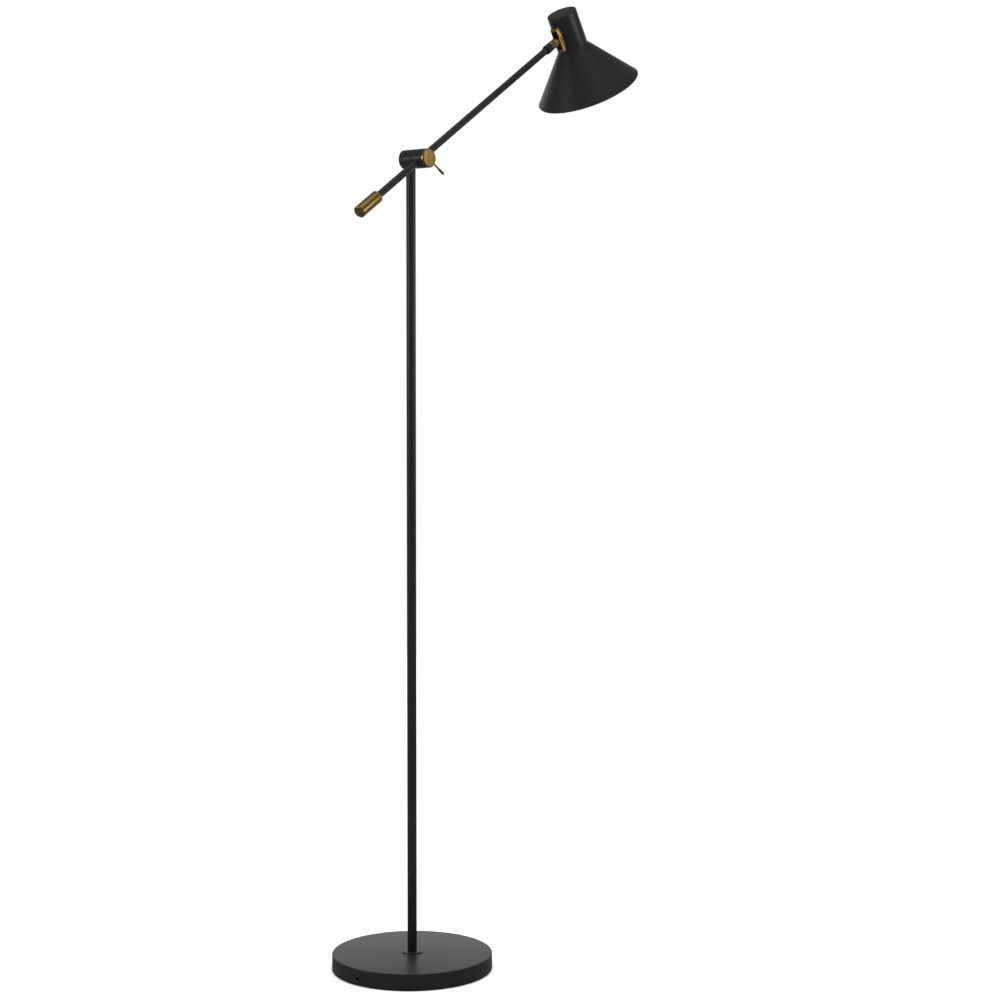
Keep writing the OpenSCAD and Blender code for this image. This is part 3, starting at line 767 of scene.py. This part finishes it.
def stand_for(piece: Piece, finish: Finish, *nodes: str) -> Piece:
    """Dresses a piece and lets it stand for CAD nodes, on their body.

    A piece that has finishes already keeps them.

    Args:
        piece: The finished piece.
        finish: Its finish.
        nodes: CAD nodes that it replaces.

    Returns:
        The piece.
    """
    if not piece.data.materials:
        piece.data.materials.append(finish.material())
    place_on(piece, nodes[0])
    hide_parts(*nodes)
    return piece


def eased(node: str, finish: Finish, width_mm: float, segments: int = 3) -> Piece:
    """Makes a copy of a CAD node with its sharp edges eased, and lets it stand for the node.

    Args:
        node: CAD node that is copied.
        finish: The copy's finish.
        width_mm: Width of the eased edge.
        segments: Steps across it.

    Returns:
        The piece.
    """
    shape = bmesh.new()
    shape.from_mesh(frame["nodes"][node].data)
    bmesh.ops.remove_doubles(shape, verts=shape.verts, dist=WELD)
    bmesh.ops.dissolve_limit(
        shape, angle_limit=FLAT_ANGLE, use_dissolve_boundaries=False,
        verts=shape.verts, edges=shape.edges,
    )
    mesh = bpy.data.meshes.new(node + "_eased")
    shape.to_mesh(mesh)
    shape.free()
    piece = new_object(mesh.name, mesh)
    bevel = piece.modifiers.new("ease", "BEVEL")
    bevel.width, bevel.segments = width_mm * MM, segments
    bevel.limit_method, bevel.angle_limit = "ANGLE", SHARP_ANGLE
    bevel.harden_normals = False
    settle(piece)
    return stand_for(piece, finish, node)


def add_to(piece: Piece, finish: Finish, node: str) -> Piece:
    """Dresses a piece that joins a CAD node without hiding it, on its body.

    Args:
        piece: The finished piece.
        finish: Its finish.
        node: CAD node that it joins.

    Returns:
        The piece.
    """
    piece.data.materials.clear()
    piece.data.materials.append(finish.material())
    return place_on(piece, node)


# ---------------------------------------------------------------- geometry node trees


def group(name: str, sizes: dict[str, float]) -> tuple[Tree, Node]:
    """Starts a geometry tree with named sizes and a material.

    Args:
        name: Name of the tree.
        sizes: Named inputs and their usual values.

    Returns:
        The tree and its input node.
    """
    tree = bpy.data.node_groups.new(name, "GeometryNodeTree")
    tree.interface.new_socket("Geometry", in_out="OUTPUT", socket_type="NodeSocketGeometry")
    for size, value in sizes.items():
        kind = "NodeSocketInt" if isinstance(value, int) else "NodeSocketFloat"
        socket = tree.interface.new_socket(size, in_out="INPUT", socket_type=kind)
        socket.default_value = value
    tree.interface.new_socket("Finish", in_out="INPUT", socket_type="NodeSocketMaterial")
    return tree, add(tree, "NodeGroupInput")


def end_group(tree: Tree, source: Node, geometry: Socket) -> None:
    """Ends a geometry tree in Realize Instances and Set Material.

    Args:
        tree: Geometry tree.
        source: Its input node.
        geometry: Geometry that it makes.
    """
    real = add(tree, "GeometryNodeRealizeInstances", {"Geometry": geometry})
    coat = add(
        tree, "GeometryNodeSetMaterial",
        {"Geometry": real.outputs[0], "Material": source.outputs["Finish"]},
    )
    add(tree, "NodeGroupOutput", {"Geometry": coat.outputs[0]})


def grow(name: str, tree: Tree, sizes: dict[str, float], finish: Finish, place: Matrix) -> Piece:
    """Runs a geometry tree and keeps its result as a plain mesh.

    Args:
        name: Name of the piece.
        tree: Geometry tree.
        sizes: Values of its named inputs.
        finish: Finish given to its material input.
        place: Frame that the piece is grown in.

    Returns:
        The piece.
    """
    piece = new_object(name, bpy.data.meshes.new(name))
    modifier = piece.modifiers.new("grow", "NODES")
    modifier.node_group = tree
    values = {**sizes, "Finish": finish.material()}
    for item in tree.interface.items_tree:
        if item.in_out == "INPUT" and item.name in values:
            modifier[item.identifier] = values[item.name]
    piece.update_tag()
    settle(piece)
    piece.data.transform(place)
    shape = bmesh.new()
    shape.from_mesh(piece.data)
    outward(piece.data, shape)
    return piece


def thread_tree() -> Tree:
    """Makes a tree that winds a round ridge up a cylinder, as a rolled thread.

    Returns:
        The tree, with inputs Radius, Pitch, Turns, Ridge and Steps.
    """
    tree, source = group(
        "rolled_thread",
        {"Radius": 0.013, "Pitch": 0.0036, "Turns": 5.0, "Ridge": 0.0008, "Steps": 40},
    )
    sizes = source.outputs
    rise = add(
        tree, "ShaderNodeMath", {0: sizes["Pitch"], 1: sizes["Turns"]}, operation="MULTIPLY"
    )
    spiral = add(
        tree, "GeometryNodeCurveSpiral",
        {
            "Resolution": sizes["Steps"], "Rotations": sizes["Turns"],
            "Start Radius": sizes["Radius"], "End Radius": sizes["Radius"],
            "Height": rise.outputs[0],
        },
    )
    ridge = add(
        tree, "GeometryNodeCurvePrimitiveCircle",
        {"Resolution": RIDGE_STEPS, "Radius": sizes["Ridge"]},
    )
    swept = add(
        tree, "GeometryNodeCurveToMesh",
        {"Curve": spiral.outputs[0], "Profile Curve": ridge.outputs[0], "Fill Caps": True},
    )
    end_group(tree, source, swept.outputs[0])
    return tree


def shade_tree() -> Tree:
    """Makes a tree that spins a sheet-metal cone with a rolled bead at its rim.

    The wall is a four-point loop and the bead a circle, both swept round the shade's axis.

    Returns:
        The tree, with inputs Neck Radius, Rim Radius, Neck Drop, Height, Wall, Bead Radius
        and Steps.
    """
    tree, source = group(
        "spun_shade",
        {"Neck Radius": 0.0256, "Rim Radius": 0.0897, "Neck Drop": 0.0266, "Height": 0.0819,
         "Wall": 0.00127, "Bead Radius": 0.0012, "Steps": 192},
    )
    sizes = source.outputs

    def total(first: Socket, second: Socket, operation: str) -> Socket:
        """Adds or subtracts two sizes.

        Args:
            first: First size.
            second: Second size.
            operation: "ADD" or "SUBTRACT".

        Returns:
            The result.
        """
        return add(tree, "ShaderNodeMath", {0: first, 1: second}, operation=operation).outputs[0]

    spread = total(sizes["Rim Radius"], sizes["Neck Radius"], "SUBTRACT")
    rim_drop = total(sizes["Neck Drop"], sizes["Height"], "ADD")
    bead_drop = total(rim_drop, sizes["Bead Radius"], "SUBTRACT")
    corners = []
    for outer, drop, inward in (
        (None, sizes["Neck Drop"], False), (spread, bead_drop, False),
        (spread, bead_drop, True), (None, sizes["Neck Drop"], True),
    ):
        edge = add(
            tree, "ShaderNodeMath",
            {0: outer or 0.0, 1: sizes["Wall"] if inward else 0.0}, operation="SUBTRACT",
        )
        corners.append(add(tree, "ShaderNodeCombineXYZ", {"X": edge.outputs[0], "Y": drop}))
    wall = add(
        tree, "GeometryNodeCurvePrimitiveQuadrilateral",
        {f"Point {index + 1}": corner.outputs[0] for index, corner in enumerate(corners)},
        mode="POINTS",
    )
    bead = add(
        tree, "GeometryNodeCurvePrimitiveCircle",
        {"Resolution": BEAD_STEPS, "Radius": sizes["Bead Radius"]},
    )
    inset = total(spread, sizes["Bead Radius"], "SUBTRACT")
    at_rim = add(tree, "ShaderNodeCombineXYZ", {"X": inset, "Y": bead_drop})
    moved = add(
        tree, "GeometryNodeTransform",
        {"Geometry": bead.outputs[0], "Translation": at_rim.outputs[0]},
    )
    both = add(tree, "GeometryNodeJoinGeometry")
    tree.links.new(wall.outputs[0], both.inputs[0])
    tree.links.new(moved.outputs[0], both.inputs[0])
    round_axis = add(
        tree, "GeometryNodeCurvePrimitiveCircle",
        {"Resolution": sizes["Steps"], "Radius": sizes["Neck Radius"]},
    )
    swept = add(
        tree, "GeometryNodeCurveToMesh",
        {"Curve": round_axis.outputs[0], "Profile Curve": both.outputs[0]},
    )
    end_group(tree, source, swept.outputs[0])
    return tree


# ---------------------------------------------------------------- sub-assemblies


@dataclass
class Base:
    """The pressed cover with its cord bushing and the pole's foot flange."""

    radius: float = 127.5
    top: float = 26.25
    skirt: float = 1.0
    wall: float = 1.2
    edge: float = 1.6
    outlet_height: float = 11.5
    bushing_bore: float = 6.2
    bushing_body: float = 9.2
    bushing_flange: float = 11.2
    bushing_length: float = 5.2
    lip: float = 1.0
    foot_radius: float = 16.5
    foot_height: float = 1.5
    foot_bore: float = 5.2
    stem_bore: float = 5.3

    def outlet_frame(self) -> Matrix:
        """Makes the frame of the cord outlet.

        Returns:
            The frame, with Z pointing out of the base.
        """
        origin = Vector((-self.radius, 0, self.outlet_height)) * MM
        return basis(origin, Vector((0, 0, 1)), Vector((0, -1, 0)), Vector((-1, 0, 0)))

    def cover(self) -> Piece:
        """Presses the cover and drills it for the bushing.

        Returns:
            The cover.
        """
        inner, under, bore = self.radius - self.wall, self.top - self.wall, self.stem_bore
        corners = [
            (bore, self.top, 0), (self.radius, self.top, self.edge), (self.radius, self.skirt, 0.5),
            (inner, self.skirt, 0.5), (inner, under, 0.8), (bore, under, 0),
        ]
        piece = revolve("base_cover_pressed", corners, POLE_FRAME, 256)
        drill(piece, self.bushing_body + 0.1, -6, 4, self.outlet_frame())
        return piece

    def bushing(self) -> Piece:
        """Moulds the bushing that lines the cord outlet.

        Returns:
            The bushing.
        """
        bore, body, flange = self.bushing_bore / 2, self.bushing_body / 2, self.bushing_flange / 2
        lip, end = self.lip, -self.bushing_length
        corners = [
            (bore, lip, 0.5), (flange, lip, 0.5), (flange, 0.0, 0.1), (body, 0.0, 0.1),
            (body, end, 0.3), (bore, end, 0.3),
        ]
        return revolve("cord_bushing_moulded", corners, self.outlet_frame(), 64)

    def foot(self) -> Piece:
        """Turns the flange at the foot of the pole.

        Returns:
            The flange.
        """
        low, high = self.top, self.top + self.foot_height
        radius, bore = self.foot_radius, self.foot_bore
        corners = [(bore, low, 0), (radius, low, 0.1), (radius, high, 0.6), (bore, high, 0)]
        return revolve("foot_flange_turned", corners, POLE_FRAME)

    def build(self) -> list[Piece]:
        """Builds and dresses the base's pieces.

        Returns:
            The pieces.
        """
        return [
            stand_for(self.cover(), BLACK_COAT, "base_cover"),
            stand_for(self.bushing(), PHENOLIC, "cord_bushing"),
            stand_for(self.foot(), BLACK_COAT, "foot_flange"),
        ]


@dataclass
class Pole:
    """The plain tube between the base and the pivot."""

    outer: float = 7.5
    inner: float = 6.0

    def build(self) -> list[Piece]:
        """Builds and dresses the pole.

        Returns:
            The pieces.
        """
        low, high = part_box("pole")
        foot, head = low[2] / MM, high[2] / MM
        corners = [
            (self.inner, foot, 0), (self.outer, foot, 0.3), (self.outer, head, 0.3),
            (self.inner, head, 0),
        ]
        return [stand_for(revolve("pole_drawn", corners, POLE_FRAME, 128), BLACK_COAT, "pole")]


@dataclass
class Pivot:
    """The fixed and turning blocks at the top of the pole."""

    ease: float = 0.7

    def build(self) -> list[Piece]:
        """Builds and dresses both blocks.

        Returns:
            The pieces.
        """
        return [
            eased("pivot_housing", BLACK_COAT, self.ease),
            eased("arm_hub", BLACK_COAT, self.ease),
        ]


@dataclass
class Clamp:
    """The brass knob and its lever."""

    knob_radius: float = 15.0
    bevel: float = 1.5
    dimple_radius: float = 1.4
    dimple_depth: float = 0.5
    lever_drop: float = math.radians(31.7)
    rod: float = 1.5
    grip: float = 2.25
    grip_length: float = 12.0
    reach: float = 42.5
    root: float = 8.0

    def lever_frame(self, across_mm: float) -> Matrix:
        """Makes the lever's frame.

        Args:
            across_mm: Where the lever stands across the pivot.

        Returns:
            The frame, with Z from the pivot's axis to the lever's tip.
        """
        along = Vector((math.cos(self.lever_drop), 0, -math.sin(self.lever_drop)))
        origin = Vector((0, across_mm * MM, PIVOT_POINT.z))
        return basis(origin, Vector((0, 1, 0)), along.cross(Vector((0, 1, 0))), along)

    def build(self) -> list[Piece]:
        """Builds and dresses the knob and the lever.

        Returns:
            The pieces.
        """
        low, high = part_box("clamp_knob")
        face, back = low[1] / MM, high[1] / MM
        radius, cut = self.knob_radius, self.bevel
        corners = [
            (0, face + self.dimple_depth, 0), (self.dimple_radius, face, 0.15),
            (radius - cut, face, 0.25), (radius, face + cut, 0.25), (radius, back - cut, 0.25),
            (radius - cut, back, 0.2), (0, back, 0),
        ]
        knob = revolve("clamp_knob_turned", corners, PIVOT_FRAME, 128, closed=False)
        lever_frame = self.lever_frame((face + back) / 2)
        drill(knob, self.rod * 2 + 0.1, self.root, radius + 3, lever_frame)
        neck, rod, grip = self.reach - self.grip_length, self.rod, self.grip
        corners = [
            (0, self.root, 0), (rod, self.root, 0.1), (rod, neck - 0.6, 0.3),
            (grip, neck + 0.4, 0.4), (grip, self.reach, 1.0), (0, self.reach, 0),
        ]
        lever = revolve("knob_lever_turned", corners, lever_frame, 48, closed=False)
        return [
            stand_for(knob, TURNED_BRASS, "clamp_knob"),
            stand_for(lever, TURNED_BRASS, "knob_lever"),
        ]


@dataclass
class Arm:
    """The two tubes, the counterweight, and the collar and sleeve at the arm's end."""

    tube: float = 5.55
    bore: float = 4.55
    seat: float = 4.6
    tail: float = 169.15
    tail_end: float = 160.15
    weight_length: float = 50.0
    weight_radius: float = 9.8
    weight_bevel: float = 1.4
    reach: float = 416.5
    knuckle: float = 17.5
    sleeve_length: float = 11.2
    sleeve_radius: float = 7.3
    collar_length: float = 12.0
    collar_radius: float = 7.65
    joint_gap: float = 0.3
    spigot: float = 8.0
    lip: float = 3.0
    slip: float = 0.02
    sleeve_bore: float = 3.25
    screw_hole: float = 4.1
    screw_share: float = 0.3

    def tubes(self) -> list[Piece]:
        """Draws the upper and the lower tube.

        Returns:
            Both tubes, dressed.
        """
        top = self.reach - self.knuckle - self.joint_gap - self.sleeve_length - self.lip
        pieces = []
        spans = {"upper_arm": (self.seat, top), "lower_arm": (-self.tail_end, -self.seat)}
        for node, (low, high) in spans.items():
            corners = [
                (self.bore, low, 0), (self.tube, low, 0.2), (self.tube, high, 0.2),
                (self.bore, high, 0),
            ]
            tube = revolve(node + "_drawn", corners, ARM_FRAME, 96)
            pieces.append(stand_for(tube, BLACK_COAT, node))
        return pieces

    def weight(self) -> Piece:
        """Turns the counterweight and drills it for its set screw.

        Returns:
            The counterweight.
        """
        low, high = -self.tail, self.weight_length - self.tail
        radius, cut, fit = self.weight_radius, self.weight_bevel, self.tube + self.slip
        corners = [
            (0, low, 0), (radius - cut, low, 0.35), (radius, low + cut, 0.35),
            (radius, high - cut, 0.35), (radius - cut, high, 0.35), (fit, high, 0.3),
            (fit, -self.tail_end, 0), (0, -self.tail_end, 0),
        ]
        piece = revolve("counterweight_turned", corners, ARM_FRAME, 128, closed=False)
        screw = high - self.weight_length * self.screw_share
        across = ARM_FRAME @ Matrix.Translation((0, 0, screw * MM)) @ QUARTER_TURN
        drill(piece, self.screw_hole, self.tube, radius + 2, across)
        return piece

    def fittings(self) -> list[Piece]:
        """Turns the black collar and the brass sleeve.

        Returns:
            Both, dressed.
        """
        end = self.reach - self.knuckle - self.joint_gap
        start = end - self.sleeve_length
        foot, lip = start - self.collar_length, start - self.lip
        inside, fit, tail = self.bore - self.slip, self.tube + self.slip, lip - self.spigot
        collar = [
            (fit, foot, 0.1), (self.collar_radius, foot, 0.6), (self.collar_radius, start, 0.4),
            (self.bore, start, 0.1), (self.bore, lip, 0), (fit, lip, 0),
        ]
        sleeve = [
            (self.sleeve_bore, tail, 0), (inside, tail, 0.2), (inside, start, 0),
            (self.sleeve_radius, start, 0.5), (self.sleeve_radius, end, 0.5),
            (self.sleeve_bore, end, 0.1),
        ]
        turned_collar = revolve("end_collar_turned", collar, ARM_FRAME, 72)
        turned_sleeve = revolve("swivel_sleeve_turned", sleeve, ARM_FRAME, 72)
        return [
            stand_for(turned_collar, BLACK_COAT, "end_collar"),
            stand_for(turned_sleeve, TURNED_BRASS, "swivel_sleeve"),
        ]

    def build(self) -> list[Piece]:
        """Builds and dresses the arm's pieces.

        Returns:
            The pieces.
        """
        return [
            *self.tubes(),
            stand_for(self.weight(), TURNED_BRASS, "counterweight"),
            *self.fittings(),
        ]


@dataclass
class Hinge:
    """The brass knuckle, bracket and pin that tilt the shade."""

    knuckle_ease: float = 0.45
    bracket_ease: float = 0.5
    pin_ease: float = 0.25

    def build(self) -> list[Piece]:
        """Builds and dresses the hinge's pieces.

        Returns:
            The pieces.
        """
        return [
            eased("knuckle", BRUSHED_BRASS, self.knuckle_ease),
            eased("tilt_bracket", BRUSHED_BRASS, self.bracket_ease),
            eased("hinge_pin", BRUSHED_BRASS, self.pin_ease, 2),
        ]


@dataclass
class Shade:
    """The cap, and the spun cone with its white inside."""

    cap_radius: float = 25.6
    cap_top: float = 34.87
    cap_low: float = -26.6
    sheet: float = 1.0
    wall: float = 1.27
    cap_edge: float = 1.3
    rim_radius: float = 89.73
    cone_height: float = 81.94
    bead_radius: float = 1.2
    neck_bore: float = 20.3
    neck_inset: float = 1.1
    lead_hole: float = 4.8
    lead_height: float = 11.9

    def cap(self) -> Piece:
        """Presses the cap and drills the hole for the lead.

        Returns:
            The cap.
        """
        outer, inner = self.cap_radius, self.cap_radius - self.sheet
        under = self.cap_top - self.sheet
        corners = [
            (0, self.cap_top, 0), (outer, self.cap_top, self.cap_edge), (outer, self.cap_low, 0.15),
            (inner, self.cap_low, 0.15), (inner, under, 0.6), (0, under, 0),
        ]
        piece = revolve("cap_pressed", corners, CAP_FRAME, 160, closed=False)
        sideways = HEAD_FRAME @ Matrix.Translation((0, 0, self.lead_height * MM)) @ QUARTER_TURN
        drill(piece, self.lead_hole, 0, 12, sideways)
        return piece

    def cone(self) -> Piece:
        """Spins the cone and whitens its inside.

        Returns:
            The cone, with its two finishes.
        """
        piece = grow(
            "shade_spun", shade_tree(),
            {
                "Neck Radius": self.cap_radius * MM, "Rim Radius": self.rim_radius * MM,
                "Neck Drop": -self.cap_low * MM, "Height": self.cone_height * MM,
                "Wall": self.wall * MM, "Bead Radius": self.bead_radius * MM, "Steps": 192,
            },
            BLACK_COAT, CAP_FRAME,
        )
        mesh = piece.data
        mesh.materials.append(WHITE_ENAMEL.material())
        axis, home = CAP_FRAME.col[2].xyz, CAP_FRAME.translation
        rim = (self.cap_low - self.cone_height + 2 * self.bead_radius) * MM
        for face in mesh.polygons:
            out = face.center - home
            height = out.dot(axis)
            out -= axis * height
            if height > rim and face.normal.dot(out) < 0:
                face.material_index = 1
        return piece

    def neck(self) -> Piece:
        """Turns the flange that closes the cone's top round the lampholder.

        Returns:
            The flange.
        """
        outer, bore = self.cap_radius - self.neck_inset, self.neck_bore
        low, high = self.cap_low - self.sheet, self.cap_low - 0.02
        corners = [(bore, high, 0.1), (outer, high, 0), (outer, low, 0), (bore, low, 0.1)]
        return revolve("shade_neck_flange", corners, CAP_FRAME, 128)

    def build(self) -> list[Piece]:
        """Builds and dresses the shade's pieces.

        Returns:
            The pieces.
        """
        return [
            stand_for(self.cap(), BLACK_COAT, "cap_shell"),
            stand_for(self.cone(), BLACK_COAT, "shade_cone"),
            add_to(self.neck(), WHITE_ENAMEL, "shade_cone"),
        ]


@dataclass
class Lampholder:
    """The phenolic lampholder with its thread, and the bulb in it."""

    bulb_radius: float = 30.0
    bulb_length: float = 104.0
    cap_radius: float = 13.1
    cap_length: float = 25.0
    glass: float = 0.8
    neck_end: float = -35.6
    thread_pitch: float = 3.6
    thread_turns: float = 5.0
    thread_from: float = 3.4
    ridge: float = 0.75
    contact_radius: float = 3.4
    tip_radius: float = 5.0
    ring_ease: float = 0.3
    body_ease: float = 0.4

    def glass_outline(self) -> list[Corner]:
        """Draws the bulb's outer outline.

        Returns:
            Its corners from the neck to the tip.
        """
        neck = self.cap_radius - 0.8
        centre = self.bulb_radius - self.bulb_length
        reach = math.hypot(neck, self.neck_end - centre)
        lean = math.atan2(self.neck_end - centre, neck) - math.acos(self.bulb_radius / reach)
        outline = [(neck, 1.5 - self.cap_length, 0.0), (neck, self.neck_end, 14.0)]
        steps = 24
        for step in range(steps + 1):
            angle = lean - (lean + math.pi / 2) * step / steps
            radius, rise = self.bulb_radius * math.cos(angle), self.bulb_radius * math.sin(angle)
            outline.append((radius, centre + rise, 0.0))
        outline[-1] = (0.0, -self.bulb_length, 0.0)
        return outline

    def bulb(self) -> Piece:
        """Blows the bulb's glass as a thin shell.

        Returns:
            The bulb.
        """
        outer = self.glass_outline()
        inner = [
            (max(radius - self.glass, 0.0), height + (self.glass if radius < 1 else 0.0), fillet)
            for radius, height, fillet in outer
        ]
        loop = list(reversed(outer)) + inner
        return revolve("bulb_glass_blown", loop, CAP_FRAME, 128, closed=False)

    def screw_cap(self) -> list[Piece]:
        """Rolls the bulb's screw cap and its thread.

        Returns:
            Both, dressed.
        """
        root, crest, foot = self.cap_radius - self.ridge * 0.6, self.cap_radius, -self.cap_length
        tip, contact = self.tip_radius, self.contact_radius
        corners = [
            (root - 0.5, foot, 0.1), (crest, foot, 0.3), (crest, foot + 1.6, 0.3),
            (root, foot + 2.4, 0.4), (root, -5, 0.6), (tip, -1, 0.2), (contact, -1, 0),
            (contact, -2, 0), (root - 0.5, -6, 0),
        ]
        cap = revolve("bulb_cap_rolled", corners, CAP_FRAME, 96)
        lift = Matrix.Translation((0, 0, (foot + self.thread_from) * MM))
        sizes = {
            "Radius": (root - 0.1) * MM, "Pitch": self.thread_pitch * MM,
            "Turns": self.thread_turns - 0.4, "Ridge": self.ridge * MM * 0.7, "Steps": 48,
        }
        thread = grow("bulb_cap_thread", thread_tree(), sizes, ZINC_STEEL, CAP_FRAME @ lift)
        return [stand_for(cap, ZINC_STEEL, "bulb_cap"), add_to(thread, ZINC_STEEL, "bulb_cap")]

    def build(self) -> list[Piece]:
        """Builds and dresses the bulb and the lampholder's pieces.

        Returns:
            The pieces.
        """
        return [
            stand_for(self.bulb(), OPAL, "bulb_glass"),
            *self.screw_cap(),
            eased("shade_ring", PHENOLIC, self.ring_ease, 2),
            eased("holder_body", PHENOLIC, self.body_ease, 2),
        ]


# ---------------------------------------------------------------- studio


@dataclass
class Studio:
    """The pale floor, the soft lights and the camera."""

    eye_mm: tuple[float, float, float] = (-2516.5, -2247.7, 967.1)
    heading: float = math.radians(50.608)
    pitch: float = math.radians(-2.376)
    lens: float = 76.9
    drop: float = -0.05
    floor_size: float = 60.0
    fill: float = 0.2
    sky_strength: float = 3.1
    sky_spread: float = math.radians(60)
    middle: tuple[float, float, float] = (0.1, 0.0, 0.9)

    def camera(self) -> None:
        """Places the camera almost level, with its frame dropped a little to take in the base."""
        data = bpy.data.cameras.new("camera")
        data.lens, data.sensor_width, data.shift_y = self.lens, 36.0, self.drop
        data.clip_start, data.clip_end = 0.05, 200.0
        camera = bpy.data.objects.new("camera", data)
        bpy.context.scene.collection.objects.link(camera)
        raised = Matrix.Rotation(math.pi / 2 + self.pitch, 4, "X")
        turn = Matrix.Rotation(-self.heading, 4, "Z") @ raised
        camera.matrix_world = Matrix.Translation(Vector(self.eye_mm) * MM) @ turn
        bpy.context.scene.camera = camera

    def floor(self) -> None:
        """Lays the pale floor."""
        half = self.floor_size / 2
        mesh = bpy.data.meshes.new("studio_floor")
        corners = [(-half, -half, 0), (half, -half, 0), (half, half, 0), (-half, half, 0)]
        mesh.from_pydata(corners, [], [(0, 1, 2, 3)])
        floor = new_object("studio_floor", mesh)
        floor.data.materials.append(STUDIO_FLOOR.material())
        floor.visible_glossy = False

    def light(self, name: str, place: Vector, size: Point, watts: float) -> None:
        """Hangs one soft light that faces the lamp's middle.

        Args:
            name: Name of the light.
            place: Where it hangs, in metres.
            size: Its width and height, in metres.
            watts: Its power.
        """
        data = bpy.data.lights.new(name, "AREA")
        data.shape, data.size, data.size_y, data.energy = "RECTANGLE", size[0], size[1], watts
        light = bpy.data.objects.new(name, data)
        bpy.context.scene.collection.objects.link(light)
        aim = Vector(self.middle) - place
        facing = aim.to_track_quat("-Z", "Y").to_matrix().to_4x4()
        light.matrix_world = Matrix.Translation(place) @ facing
        light.visible_camera = False

    def sky(self) -> None:
        """Lights the whole floor evenly from overhead."""
        data = bpy.data.lights.new("soft_overhead", "SUN")
        data.energy, data.angle = self.sky_strength, self.sky_spread
        light = bpy.data.objects.new("soft_overhead", data)
        bpy.context.scene.collection.objects.link(light)
        light.visible_glossy = False

    def world(self) -> None:
        """Fills the room with soft white light."""
        world = bpy.data.worlds.new("studio")
        bpy.context.scene.world = world
        world.use_nodes = True
        tree = world.node_tree
        tree.nodes.clear()
        path = add(tree, "ShaderNodeLightPath")
        seen = add(tree, "ShaderNodeBackground", {"Color": (1, 1, 1, 1), "Strength": 1.0})
        fill = add(tree, "ShaderNodeBackground", {"Color": (1, 1, 1, 1), "Strength": self.fill})
        mix = add(
            tree, "ShaderNodeMixShader",
            {0: path.outputs["Is Camera Ray"], 1: fill.outputs[0], 2: seen.outputs[0]},
        )
        add(tree, "ShaderNodeOutputWorld", {"Surface": mix.outputs[0]})

    def build(self) -> None:
        """Sets up the camera, the floor, the lights and the room."""
        self.camera()
        self.floor()
        right = Vector((math.cos(self.heading), -math.sin(self.heading), 0))
        ahead = Vector((math.sin(self.heading), math.cos(self.heading), 0))
        self.light("soft_left", -right * 2.2 - ahead * 0.9 + UP * 1.45, (1.2, 1.0), 20)
        self.light("soft_right", right * 2.4 - ahead * 0.6 + UP * 1.45, (1.2, 1.0), 20)
        self.light("soft_back", ahead * 3.5 + UP * 1.2, (7.0, 3.2), 44)
        self.light("soft_top", UP * 3.2 - ahead * 0.6, (2.2, 2.2), 16)
        self.sky()
        self.world()
        view = bpy.context.scene.view_settings
        view.view_transform, view.look = "Standard", "None"


def dress_frame() -> None:
    """Gives every CAD node its slot's finish."""
    for node, piece in frame["nodes"].items():
        finish = SLOT_FINISH[NODE_SLOT[node]].material()
        for slot in piece.material_slots:
            slot.material = finish


def main() -> None:
    """Builds the studio and the lamp, and reports each piece."""
    logging.basicConfig(level=logging.INFO, format="%(name)s: %(message)s")
    Studio().build()
    dress_frame()
    for part in (Base(), Pole(), Pivot(), Clamp(), Arm(), Hinge(), Shade(), Lampholder()):
        for piece in part.build():
            LOG.info("%s %s %d faces", type(part).__name__, piece.name, len(piece.data.polygons))


if __name__ == "__main__":
    main()
